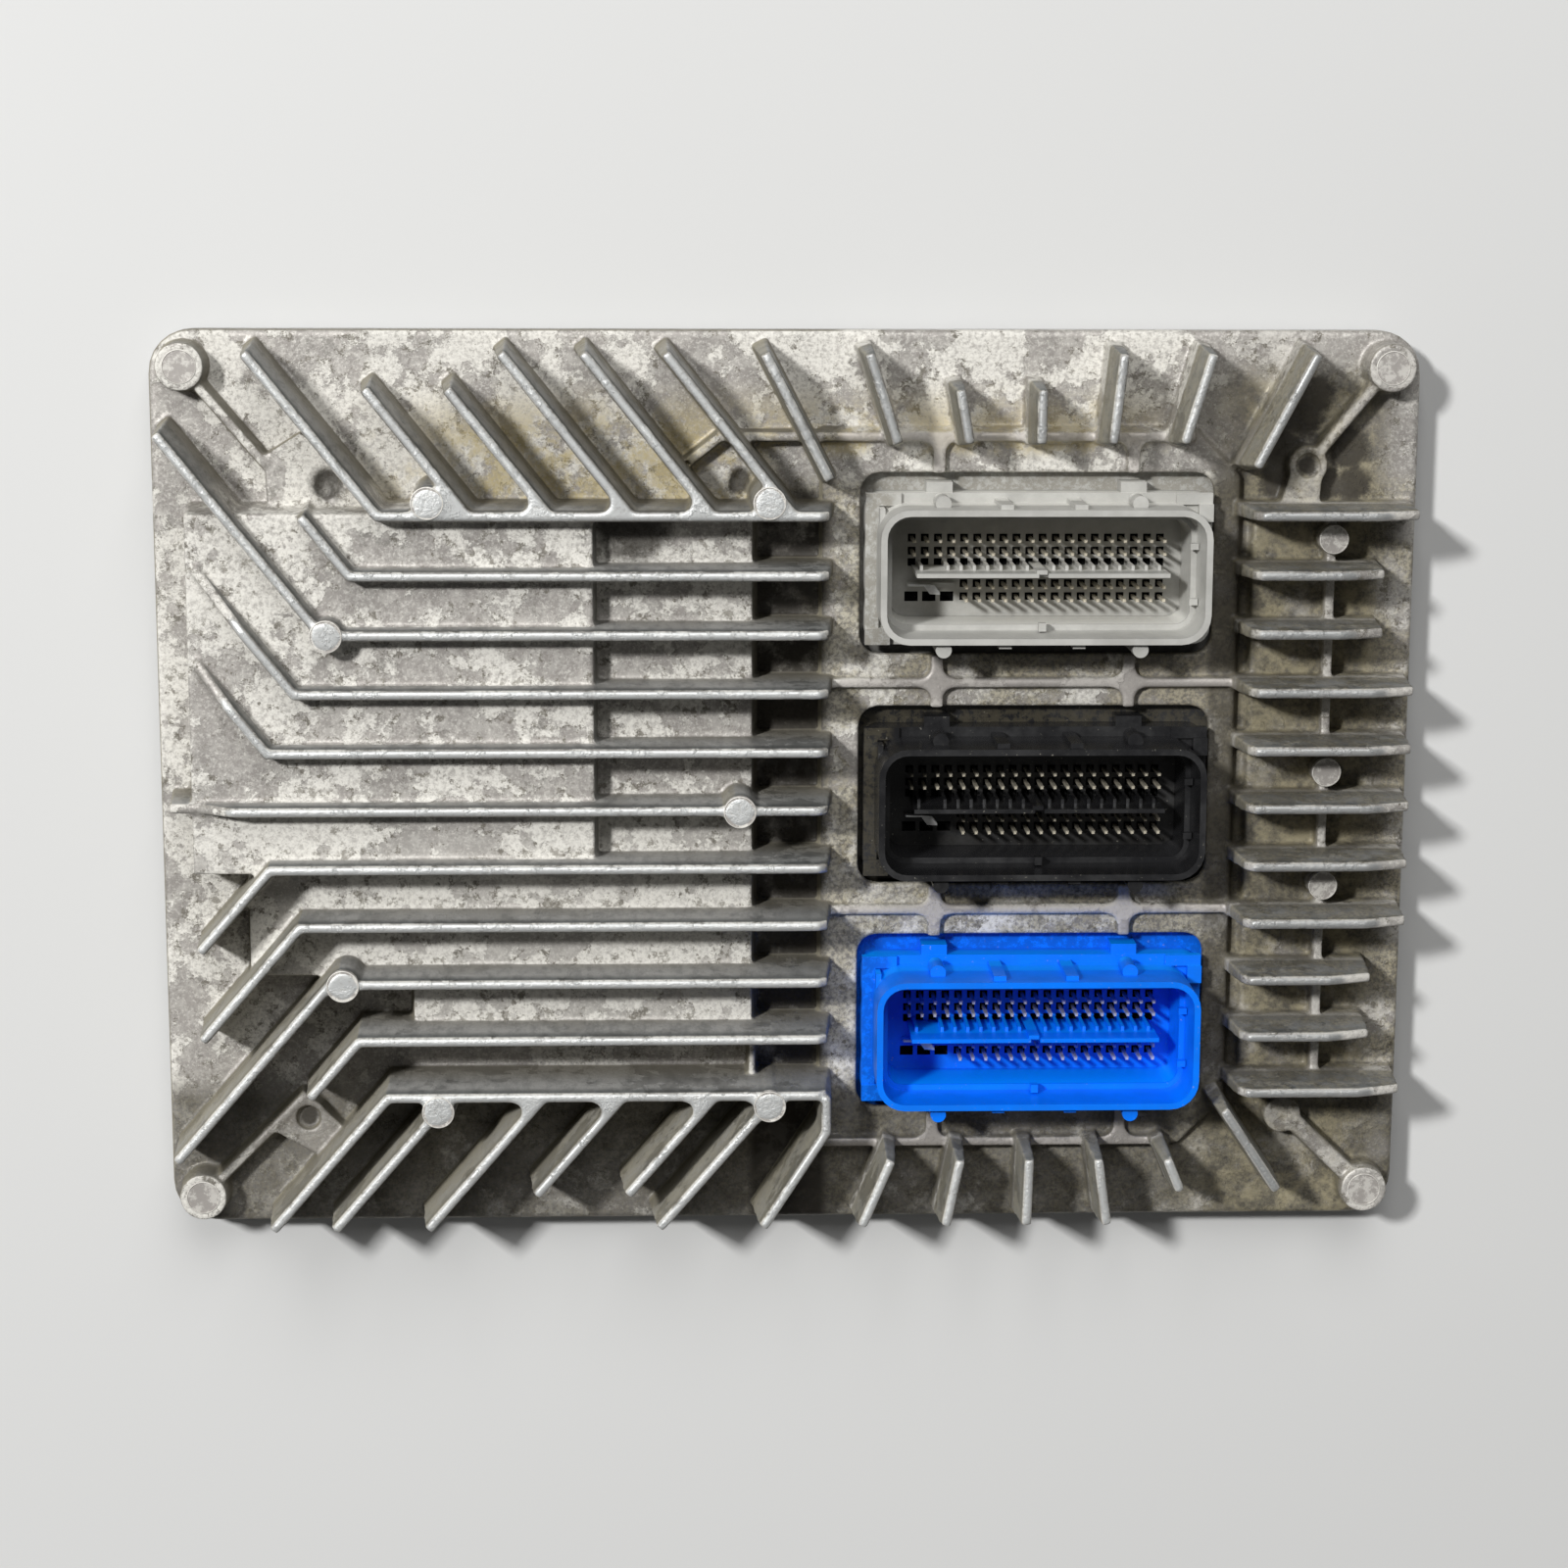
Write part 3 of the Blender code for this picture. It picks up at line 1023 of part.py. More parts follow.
def electronics(package, metal, pad):
    """The larger parts on the board."""
    chip("processor", PROCESSOR[:2], PROCESSOR[2:], package)
    chip("flash_memory", FLASH_MEMORY[:2], FLASH_MEMORY[2:], package)
    chip("crystal", CRYSTAL[:2], CRYSTAL[2:], metal)
    pad_bottom = BOARD_TOP + GAP + DRIVER_SIZE[2] + GAP
    for number, x in enumerate(DRIVER_X, 1):
        chip("power_driver_%d" % number, (x, DRIVER_Y), DRIVER_SIZE, package)
        length, width, height = on_board_size(DRIVER_SIZE)
        sheet = rounded_rectangle(0, 0, length - 2 * PAD_MARGIN, width - 2 * PAD_MARGIN, CHIP_CHAMFER, 1)
        shape = prism(sheet, pad_bottom, pad_bottom + PAD_THICKNESS)
        cushion = add_object("thermal_pad_%d" % number, shape, pad)
        cushion.location = (*on_board(x, DRIVER_Y), 0.0)
    for number, place in enumerate(INDUCTOR_PLACES, 1):
        chip("inductor_%d" % number, place, INDUCTOR_SIZE, package)
    bottom = BOARD_TOP + GAP
    radius = CAPACITOR_RADIUS * ALONG
    for number, place in enumerate(CAPACITOR_PLACES, 1):
        profile = ((radius, bottom), (radius, bottom + CAPACITOR_HEIGHT - CHIP_CHAMFER),
                   (radius - CHIP_CHAMFER, bottom + CAPACITOR_HEIGHT))
        can = add_object("capacitor_%d" % number, turned(profile, 0, 0, 16), metal)
        can.location = (*on_board(*place), 0.0)


def main():
    """Clear the scene and build every piece."""
    for leftover in list(bpy.data.objects):
        bpy.data.objects.remove(leftover)
    cast = material("cast_aluminium", (0.46, 0.45, 0.42), 0.5, 0.8)
    sheet = material("sheet_aluminium", (0.55, 0.55, 0.54), 0.4, 0.9)
    steel = material("zinc_plated_steel", (0.60, 0.60, 0.58), 0.35, 0.9)
    rubber = material("silicone_seal", (0.05, 0.05, 0.05), 0.8, 0.0)
    laminate = material("board_laminate", (0.03, 0.16, 0.06), 0.5, 0.0)
    package = material("chip_package", (0.03, 0.03, 0.03), 0.5, 0.0)
    pad = material("thermal_pad", (0.45, 0.50, 0.60), 0.9, 0.0)
    grey = material("grey_plastic", (0.42, 0.42, 0.40), 0.55, 0.0)
    black = material("black_plastic", (0.02, 0.02, 0.02), 0.3, 0.0)
    blue = material("blue_plastic", (0.0, 0.13, 0.80), 0.4, 0.0)
    finned_cover(cast)
    back_plate(sheet)
    add_object("cover_seal", seal_ring(SEAL_WIDTH, COVER_BOTTOM, COVER_BOTTOM + SEAL_HEIGHT), rubber)
    circuit_board(laminate)
    headers((grey, black, blue))
    header_seals(rubber)
    shorting_clips(steel)
    screws(steel)
    electronics(package, steel, pad)


main()
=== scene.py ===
"""Looks of the engine control unit: corroded die-cast cover, plug headers with metal pins, and the stage.

The unit lies on its back plate, +Z up. The camera looks down on it, with +X to the right.
"""
import math

import bpy
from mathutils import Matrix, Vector


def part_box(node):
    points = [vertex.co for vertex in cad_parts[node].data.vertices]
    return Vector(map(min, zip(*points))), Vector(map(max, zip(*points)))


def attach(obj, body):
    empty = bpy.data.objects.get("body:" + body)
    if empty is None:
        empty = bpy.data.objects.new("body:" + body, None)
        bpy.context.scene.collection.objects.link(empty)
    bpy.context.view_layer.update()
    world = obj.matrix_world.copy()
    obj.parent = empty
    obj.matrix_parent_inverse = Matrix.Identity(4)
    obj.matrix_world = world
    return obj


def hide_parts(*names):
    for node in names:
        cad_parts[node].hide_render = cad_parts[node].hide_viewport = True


bl_info = {
    "name": "Engine control unit",
    "version": (1, 0, 0),
    "blender": (4, 5, 0),
    "location": "3D View > Sidebar > Control unit",
    "description": "Builds the looks of an engine control unit around its solids",
    "category": "Add Mesh",
}

MM = 0.001
COLOURS = ("grey", "black", "blue")

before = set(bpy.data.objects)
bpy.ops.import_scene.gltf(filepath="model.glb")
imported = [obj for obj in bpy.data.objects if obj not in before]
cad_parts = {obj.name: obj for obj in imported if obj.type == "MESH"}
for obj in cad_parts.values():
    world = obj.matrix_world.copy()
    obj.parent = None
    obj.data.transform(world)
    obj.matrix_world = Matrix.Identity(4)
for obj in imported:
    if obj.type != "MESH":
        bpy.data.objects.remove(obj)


# Sizes and colours that a user may change

def length(name, description, default):
    """A size in metres, shown in the scene's unit."""
    return bpy.props.FloatProperty(name=name, description=description, default=default, unit="LENGTH",
                                   precision=5)


def colour(name, description, default):
    """A linear colour."""
    return bpy.props.FloatVectorProperty(name=name, description=description, default=default,
                                         subtype="COLOR", min=0.0, max=1.0)


class CastingSettings(bpy.types.PropertyGroup):
    """Shape and finish of the die-cast cover."""

    face: length("Flange face", "Height of the flange's upper face", 9.0 * MM)
    crest: length("Crest", "Height of the fins' crests above the flange face", 18.4 * MM)
    grain: length("Voxel", "Voxel size that rounds the casting's edges", 0.38 * MM)
    row_place: length("Row place", "How far the middle row of fins lies below the cover's middle", 2.0 * MM)
    row_pitch: length("Row pitch", "Distance between two rows of fins", 11.25 * MM)
    metal: colour("Metal", "Smooth islands of the cast skin", (0.37, 0.345, 0.32))
    oxide: colour("Oxide", "White crust of oxide", (0.78, 0.76, 0.70))
    soot: colour("Soot", "Dark specks in the crust", (0.13, 0.115, 0.085))
    stain: colour("Stain", "Round dark stains", (0.21, 0.20, 0.18))
    dirt: colour("Dirt", "Dried mud round the sockets", (0.19, 0.165, 0.11))
    sand: colour("Sand", "Light grains in the mud", (0.33, 0.29, 0.185))
    ochre: colour("Ochre", "Yellow stain in the upper pockets", (0.46, 0.38, 0.19))
    # Besides grime, this colour paints shade: shadows and dark hollows in the deep strip, beside the headers, in the
    # dimples and bores, and in the upper right corner.
    grime: colour("Grime", "Black-brown grime in the deep strip", (0.030, 0.025, 0.018))
    # This film also paints shade on the low floor between the right and lower fins and in the upper right corner.
    dust_film_and_shade: colour("Smoke", "Brown-grey film between the right and lower fins", (0.075, 0.068, 0.053))
    flank: colour("Flank", "Smooth drafted sides of the fins", (0.060, 0.066, 0.066))
    waist: colour("Waist", "Paler lower half of the fins' sides", (0.31, 0.305, 0.29))
    # This tan also paints light: the fins' west-facing sides are made paler, as if lit from the left.
    silt: colour("Silt", "Tan film on the fins' left sides", (0.27, 0.245, 0.175))
    worn: colour("Worn", "Bright worn crests", (0.58, 0.59, 0.58))


class HeaderSettings(bpy.types.PropertyGroup):
    """Sizes and finish of the three plug headers."""

    x: length("Column", "Place of the headers along X", 48.1 * MM)
    y: length("Middle", "Place of the middle header along Y", -2.6 * MM)
    pitch: length("Pitch", "Distance between two headers", 45.5 * MM)
    shift: length("Foot shift", "How far the foot stands off the header's middle", 0.7 * MM)
    foot_bottom: length("Foot", "Height of the foot's underside", 6.1 * MM)
    foot_top: length("Foot top", "Height of the foot's upper side", 7.5 * MM)
    block_top: length("Block top", "Height of the block's upper side", 13.4 * MM)
    rim: length("Rim", "Height of the shroud's rim", 28.7 * MM)
    ledge: length("Ledge", "Height of the ledge inside the shroud", 19.2 * MM)
    floor: length("Floor", "Height of the socket's floor", 8.6 * MM)
    pin_pitch: length("Pin pitch", "Distance between two pins", 2.54 * MM)
    pin_side: length("Pin side", "Side of a pin", 0.6 * MM)
    pin_height: length("Pin height", "Height of a pin above the floor", 7.8 * MM)
    pin_row: length("First row", "Place of the first pin row from the middle", 5.5 * MM)
    grey: colour("Grey", "Plastic of the grey header", (0.48, 0.475, 0.445))
    black: colour("Black", "Plastic of the black header", (0.013, 0.013, 0.014))
    blue: colour("Blue", "Plastic of the blue header", (0.0, 0.19, 0.98))
    pin_metal: colour("Pin metal", "Tinned brass of the pins", (1.0, 0.92, 0.74))


class StageSettings(bpy.types.PropertyGroup):
    """Camera, lamps and floor."""

    lens: bpy.props.FloatProperty(name="Lens", description="Focal length on a 36 mm sensor",
                                  default=75.375, unit="CAMERA")
    place: bpy.props.FloatVectorProperty(name="Camera", description="Place of the camera",
                                         default=(-22.45 * MM, 116.94 * MM, 640.98 * MM),
                                         subtype="TRANSLATION", unit="LENGTH")
    turn: bpy.props.FloatVectorProperty(name="Turn", description="Turn of the camera",
                                        default=tuple(math.radians(a) for a in (-10.480, -1.944, 0.183)),
                                        subtype="EULER", unit="ROTATION")
    floor_colour: colour("Floor", "Pale floor", (0.62, 0.62, 0.61))
    key_power: bpy.props.FloatProperty(name="Key", description="Power of the key lamp", default=38.0,
                                       unit="POWER")
    world: bpy.props.FloatProperty(name="World", description="Strength of the surrounding light",
                                   default=0.085)


# Modelling helpers

def deselect():
    """Leave edit mode with nothing selected."""
    if bpy.context.mode != "OBJECT":
        bpy.ops.object.mode_set(mode="OBJECT")
    bpy.ops.object.select_all(action="DESELECT")


def activate(piece):
    """Select one object alone."""
    deselect()
    piece.select_set(True)
    bpy.context.view_layer.objects.active = piece


def settle(piece, name):
    """Name a new primitive and move its place into its mesh."""
    piece.name = piece.data.name = name
    activate(piece)
    bpy.ops.object.transform_apply(location=True, rotation=True, scale=True)
    return piece


def add_block(name, low, high):
    """A box between two corners."""
    low, high = Vector(low), Vector(high)
    deselect()
    bpy.ops.mesh.primitive_cube_add(size=1, location=(low + high) / 2)
    block = bpy.context.object
    block.scale = high - low
    return settle(block, name)


def add_post(name, x, y, radius, bottom, top, sides=24):
    """An upright round bar."""
    deselect()
    bpy.ops.mesh.primitive_cylinder_add(vertices=sides, radius=radius, depth=top - bottom,
                                        location=(x, y, (top + bottom) / 2))
    return settle(bpy.context.object, name)


def edit_faces(piece, wanted):
    """Enter edit mode with only the faces selected for which wanted(centre, normal) holds."""
    activate(piece)
    bpy.ops.object.mode_set(mode="EDIT")
    bpy.ops.mesh.select_mode(type="FACE")
    bpy.ops.mesh.select_all(action="DESELECT")
    bpy.ops.object.mode_set(mode="OBJECT")
    for face in piece.data.polygons:
        face.select = wanted(face.center, face.normal)
    bpy.ops.object.mode_set(mode="EDIT")


def edit_edges(piece, wanted):
    """Enter edit mode with only the edges selected for which wanted(first end, second end) holds."""
    activate(piece)
    bpy.ops.object.mode_set(mode="EDIT")
    bpy.ops.mesh.select_mode(type="EDGE")
    bpy.ops.mesh.select_all(action="DESELECT")
    bpy.ops.object.mode_set(mode="OBJECT")
    places = [vertex.co for vertex in piece.data.vertices]
    for edge in piece.data.edges:
        edge.select = wanted(places[edge.vertices[0]], places[edge.vertices[1]])
    bpy.ops.object.mode_set(mode="EDIT")


def add_rounded_block(name, size, radius, bottom, top, centre=(0.0, 0.0), segments=6):
    """A box whose upright edges are rounded."""
    x, y = centre
    block = add_block(name, (x - size[0] / 2, y - size[1] / 2, bottom), (x + size[0] / 2, y + size[1] / 2, top))
    edit_edges(block, lambda a, b: abs(a.z - b.z) > 0.5 * (top - bottom))
    bpy.ops.mesh.bevel(offset=radius, segments=segments, affect="EDGES")
    deselect()
    return block


def finish_modifier(piece, kind, **settings):
    """Add a modifier, set it and apply it."""
    activate(piece)
    modifier = piece.modifiers.new(kind.title(), kind)
    for name, value in settings.items():
        setattr(modifier, name, value)
    bpy.ops.object.modifier_apply(modifier=modifier.name)


def cut(piece, tool, operation="DIFFERENCE"):
    """Cut a tool from a piece, or join it, and remove the tool."""
    finish_modifier(piece, "BOOLEAN", operation=operation, solver="EXACT", object=tool)
    bpy.data.objects.remove(tool)


def join(pieces, name):
    """Join meshes into one object."""
    deselect()
    for piece in pieces:
        piece.select_set(True)
    bpy.context.view_layer.objects.active = pieces[0]
    bpy.ops.object.join()
    pieces[0].name = pieces[0].data.name = name
    return pieces[0]


def copy_of(piece, name, offset=(0.0, 0.0, 0.0)):
    """A copy with its own mesh, moved by an offset that goes into the mesh."""
    activate(piece)
    bpy.ops.object.duplicate(linked=False)
    copied = bpy.context.object
    copied.location = offset
    return settle(copied, name)


def smooth(piece, angle=35.0):
    """Smooth shading with sharp edges kept, and normals that follow the large faces."""
    activate(piece)
    bpy.ops.object.shade_smooth_by_angle(angle=math.radians(angle))
    finish_modifier(piece, "WEIGHTED_NORMAL", keep_sharp=True)


def seat(piece, material, slot, *nodes):
    """Give a finished piece its material and its body, and hide the CAD nodes that it stands for."""
    piece.data.materials.clear()
    piece.data.materials.append(material)
    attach(piece, "root")
    if nodes:
        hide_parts(*nodes)
    return piece


# Materials

class Finish:
    """A node material in the making, on Object coordinates."""

    def __init__(self, name, base, roughness, metallic=0.0):
        self.material = bpy.data.materials.new(name)
        self.material.use_nodes = True
        self.nodes = self.material.node_tree.nodes
        self.links = self.material.node_tree.links
        self.shader = self.nodes["Principled BSDF"]
        self.shader.inputs["Base Color"].default_value = (*base, 1.0)
        self.shader.inputs["Roughness"].default_value = roughness
        self.shader.inputs["Metallic"].default_value = metallic
        self.place = self.nodes.new("ShaderNodeTexCoord").outputs["Object"]
        self.normal = self.nodes.new("ShaderNodeNewGeometry").outputs["Normal"]

    def feed(self, socket, value):
        """Put a number, a colour or another node's output on an input."""
        if isinstance(value, bpy.types.NodeSocket):
            self.links.new(value, socket)
        elif hasattr(value, "__len__") and socket.type == "RGBA":
            socket.default_value = (*value, 1.0)[:4]
        else:
            socket.default_value = value

    def part(self, vector, axis):
        """One component of a vector."""
        split = self.nodes.new("ShaderNodeSeparateXYZ")
        self.feed(split.inputs[0], vector)
        return split.outputs["XYZ".index(axis)]

    def stretched(self, scale):
        """Object coordinates scaled along the axes."""
        mapping = self.nodes.new("ShaderNodeMapping")
        self.feed(mapping.inputs["Vector"], self.place)
        mapping.inputs["Scale"].default_value = scale
        return mapping.outputs["Vector"]

    def noise(self, size, detail=4.0, roughness=0.6, place=None, distortion=0.0):
        """Noise whose largest features are about this size, in metres."""
        texture = self.nodes.new("ShaderNodeTexNoise")
        self.feed(texture.inputs["Vector"], place or self.place)
        texture.inputs["Scale"].default_value = 1.0 / size
        texture.inputs["Detail"].default_value = detail
        texture.inputs["Roughness"].default_value = roughness
        texture.inputs["Distortion"].default_value = distortion
        return texture.outputs["Fac"]

    def step(self, value, low, high, start=0.0, stop=1.0):
        """Smooth rise from start to stop between two values."""
        ranged = self.nodes.new("ShaderNodeMapRange")
        ranged.interpolation_type = "SMOOTHSTEP"
        for name, number in (("Value", value), ("From Min", low), ("From Max", high), ("To Min", start),
                             ("To Max", stop)):
            self.feed(ranged.inputs[name], number)
        return ranged.outputs["Result"]

    def compute(self, operation, first, second=0.0):
        """One sum, product or the like."""
        operator = self.nodes.new("ShaderNodeMath")
        operator.operation = operation
        self.feed(operator.inputs[0], first)
        self.feed(operator.inputs[1], second)
        return operator.outputs[0]

    def product(self, *values):
        """Product of several values."""
        result = values[0]
        for value in values[1:]:
            result = self.compute("MULTIPLY", result, value)
        return result

    def mix(self, factor, first, second):
        """Colour between two colours."""
        mixer = self.nodes.new("ShaderNodeMix")
        mixer.data_type = "RGBA"
        self.feed(mixer.inputs[0], factor)
        self.feed(mixer.inputs[6], first)
        self.feed(mixer.inputs[7], second)
        return mixer.outputs[2]

    def blend(self, factor, first, second):
        """Number between two numbers."""
        mixer = self.nodes.new("ShaderNodeMix")
        self.feed(mixer.inputs[0], factor)
        self.feed(mixer.inputs[2], first)
        self.feed(mixer.inputs[3], second)
        return mixer.outputs[0]

    def bump(self, height, depth):
        """Relief of a depth in metres."""
        bump = self.nodes.new("ShaderNodeBump")
        bump.inputs["Distance"].default_value = depth
        self.feed(bump.inputs["Height"], height)
        self.feed(self.shader.inputs["Normal"], bump.outputs["Normal"])

    def shade(self, **sockets):
        """Feed the shader's inputs by name, with an underscore for each blank."""
        for name, value in sockets.items():
            self.feed(self.shader.inputs[name.replace("_", " ")], value)
        return self.material


def corroded_casting(settings):
    """Die-cast aluminium: smooth grey islands, white crust and dark specks between them, mud, worn crests, painted
    shade in the deep strip, the hollows and between the right and lower fins, painted highlights on the fins' upper
    edges and painted light on their west sides.
    """
    finish = Finish("corroded_casting", settings.metal, 0.5, 0.6)
    height = finish.compute("SUBTRACT", finish.part(finish.place, "Z"), settings.face)
    across = finish.part(finish.place, "X")
    along = finish.part(finish.place, "Y")
    facing = finish.part(finish.normal, "Z")
    upward = finish.step(facing, 0.50, 0.80)
    crest = finish.product(finish.step(facing, 0.45, 0.92),
                           finish.step(height, settings.crest - 1.4 * MM, settings.crest - 0.7 * MM))

    crumbs = finish.noise(0.9 * MM, 4.0, 0.75)
    ragged = finish.noise(5.5 * MM, 7.0, 0.72)
    islands = finish.noise(17 * MM, 3.0, 0.5, distortion=0.3)
    rows = finish.compute("FLOORED_MODULO", finish.compute("ADD", along, settings.row_place), settings.row_pitch)
    nook = finish.product(finish.step(rows, 5.8 * MM, 2.4 * MM), finish.step(across, 8 * MM, -6 * MM))
    lower = finish.product(finish.step(along, 2 * MM, -16 * MM), finish.step(height, 5.0 * MM, 6.5 * MM))
    field = finish.compute("ADD", finish.blend(0.55, islands, ragged), finish.product(lower, 0.03))
    crust = finish.step(field, 0.482, 0.508)
    shore = finish.step(finish.compute("ABSOLUTE", finish.compute("SUBTRACT", field, 0.497)), 0.045, 0.010)
    fog = finish.step(finish.noise(3.0 * MM, 6.0, 0.80), 0.44, 0.60)
    right_end = finish.step(across, 74 * MM, 92 * MM)
    white = finish.product(crust, finish.step(crumbs, 0.36, 0.58, 0.30, 1.0),
                           finish.compute("SUBTRACT", 1.0, finish.product(right_end, 0.5)))
    flecks = finish.noise(2.4 * MM, 6.0, 0.80)
    flecks = finish.compute("ADD", flecks, finish.product(finish.compute("MAXIMUM", shore, nook), 0.050))
    specks = finish.product(finish.step(flecks, 0.592, 0.617),
                            finish.compute("MAXIMUM", finish.product(crust, 0.8), shore))
    stains = finish.step(finish.noise(8 * MM, 6.0, 0.72), 0.60, 0.64)
    tone = finish.noise(13 * MM, 6.0, 0.7)

    skin = finish.mix(finish.step(tone, 0.35, 0.65), settings.metal, finish_dark(settings.metal, 0.78))
    skin = finish.mix(finish.product(finish.step(crumbs, 0.55, 0.35), 0.22), skin, settings.stain)
    skin = finish.mix(finish.product(fog, 0.28), skin, settings.oxide)
    skin = finish.mix(finish.product(stains, 0.6), skin, settings.stain)
    skin = finish.mix(finish.product(white, 0.85), skin, settings.oxide)
    frost = finish.step(finish.noise(0.7 * MM, 4.0, 0.80), 0.52, 0.60)
    skin = finish.mix(finish.product(frost, finish.blend(crust, 0.34, 0.20)), skin, finish_dark(settings.oxide, 1.12))
    grit = finish.step(finish.noise(1.0 * MM, 5.0, 0.85), 0.56, 0.63)
    skin = finish.mix(finish.product(grit, finish.blend(finish.compute("MAXIMUM", nook, shore), 0.22, 0.50)),
                      skin, settings.soot)
    skin = finish.mix(finish.product(lower, 0.22), skin, settings.oxide)
    skin = finish.mix(finish.product(specks, 0.75), skin, settings.soot)

    low = finish.step(height, 7.5 * MM, 2.0 * MM)
    socket_end = finish.step(across, -20 * MM, 15 * MM)
    patches = finish.noise(12 * MM, 7.0, 0.74)
    mud = finish.product(finish.step(patches, 0.38, 0.56), finish.step(height, 3.4 * MM, 2.4 * MM), socket_end,
                         finish.step(along, 62 * MM, 57 * MM))
    sand = finish.mix(finish.step(crumbs, 0.40, 0.60), finish_dark(settings.dirt, 0.45), settings.sand)
    skin = finish.mix(finish.product(mud, 0.74), skin, sand)
    pockets = finish.product(finish.step(along, 50 * MM, 56 * MM), finish.step(along, 80 * MM, 66 * MM),
                             finish.compute("MAXIMUM", finish.step(across, 0.0, -8 * MM),
                                            finish.step(along, 63 * MM, 67 * MM)),
                             finish.step(across, -90 * MM, -55 * MM), finish.step(across, 80 * MM, 60 * MM))
    ochre = finish.product(finish.step(patches, 0.42, 0.54), low, pockets)
    skin = finish.mix(finish.product(ochre, finish.step(crumbs, 0.30, 0.60, 0.35, 0.85)), skin, settings.ochre)
    # A brown-grey dust film with painted shade on the low floor: between the right fins up into the upper right
    # corner, and between the lower fins.
    between = finish.product(right_end, finish.step(along, 86 * MM, 76 * MM), finish.step(across, 120 * MM, 112 * MM))
    dust_film_and_shade = finish.compute("MAXIMUM", between, finish.step(along, -56 * MM, -64 * MM))
    dust_film_and_shade = finish.product(dust_film_and_shade, finish.step(height, 6.5 * MM, 3.0 * MM), finish.step(patches, 0.33, 0.52, 0.50, 1.0))
    soil = finish.mix(finish.step(finish.noise(4.5 * MM, 6.0, 0.72), 0.38, 0.64), settings.dust_film_and_shade,
                      finish.mix(between, finish_dark(settings.stain, 0.72), finish_dark(settings.sand, 0.95)))
    soil = finish.mix(finish.product(finish.step(crumbs, 0.40, 0.62), 0.22), soil, settings.sand)
    skin = finish.mix(finish.product(dust_film_and_shade, 0.86), skin, soil)
    webs = finish.product(finish.step(across, 8 * MM, 11 * MM), finish.step(across, 92 * MM, 89 * MM), upward,
                          finish.step(height, 2.9 * MM, 3.5 * MM), finish.step(height, 6.5 * MM, 5.5 * MM))
    skin = finish.mix(finish.product(webs, finish.step(crumbs, 0.30, 0.50, 0.35, 0.75)), skin,
                      finish_dark(settings.metal, 1.25))
    # Painted shade with some grime: black-brown in the deep strip, beside the headers, in the dimples and bores and in
    # the upper right corner.
    grime = painted_shade_and_grime(finish, across, along, height)
    skin = finish.mix(grime, skin, settings.grime)

    streaks = finish.noise(2.5 * MM, 5.0, 0.65, finish.stretched((1.0, 1.0, 0.35)))
    flank = finish.mix(finish.step(streaks, 0.35, 0.75), settings.flank, finish_dark(settings.flank, 1.7))
    foot = finish.step(height, 12.5 * MM, 2.0 * MM)
    waist = finish.product(finish.step(height, 17.6 * MM, 14.0 * MM), finish.step(across, 2 * MM, -10 * MM, 0.4, 1.0))
    flank = finish.mix(finish.product(waist, finish.step(streaks, 0.30, 0.60, 0.5, 1.0)), flank, settings.waist)
    flank = finish.mix(finish.product(foot, 0.65), flank, finish_dark(settings.dirt, 0.95))
    clouds = finish.step(finish.noise(5 * MM, 6.0, 0.75), 0.38, 0.60)
    # Painted light with a tan film: the fins' west-facing sides are made paler, as if lit from the left.
    west_light_and_silt = finish.product(finish.step(finish.part(finish.normal, "X"), -0.20, -0.50),
                          finish.blend(clouds, 0.40, 0.75))
    flank = finish.mix(west_light_and_silt, flank, settings.silt)
    dust = finish.product(right_end, clouds)
    flank = finish.mix(finish.product(dust, 0.6), flank, finish.mix(
        finish.step(crumbs, 0.40, 0.62), finish_dark(settings.dirt, 0.45), finish_dark(settings.sand, 0.8)))
    # Painted highlights: sloping faces just below the crests and on the fins' lower ends keep the pale skin instead of
    # the dark flank colour.
    painted_edge_highlight = finish.product(finish.step(facing, 0.10, 0.45),
                           finish.step(height, settings.crest - 2.4 * MM, settings.crest - 1.4 * MM))
    painted_end_highlight = finish.product(finish.step(facing, 0.22, 0.48), finish.step(height, 8 * MM, 11 * MM), 1.2)
    painted_edge_highlight = finish.compute("MAXIMUM", painted_edge_highlight, painted_end_highlight)
    side = finish.compute("SUBTRACT", 1.0, finish.compute("MAXIMUM", upward, finish.product(painted_edge_highlight, 0.7)))
    ribs = finish.product(finish.step(across, 8 * MM, 12 * MM), finish.step(height, 7.0 * MM, 5.0 * MM))
    ledge = finish.product(finish.step(across, -64 * MM, -70 * MM), finish.step(along, 51 * MM, 54 * MM),
                           finish.step(along, 60.5 * MM, 58.5 * MM), finish.step(height, 13.6 * MM, 12.6 * MM))
    plain = finish.compute("SUBTRACT", 1.0, finish.product(finish.compute("MAXIMUM", ribs, ledge), 0.78))
    skin = finish.mix(finish.product(side, plain, 0.92), skin, flank)
    nicks = finish.step(finish.noise(0.9 * MM, 5.0, 0.82), 0.38, 0.50, 0.60, 1.0)
    fan = finish.product(finish.step(across, -4 * MM, 4 * MM), finish.step(along, 60 * MM, 64 * MM), 0.5)
    worn = finish.mix(finish.compute("MAXIMUM", fan, finish.product(right_end, 0.8)), settings.worn,
                      finish_dark(settings.worn, 0.55))
    skin = finish.mix(finish.product(crest, nicks), skin, worn)

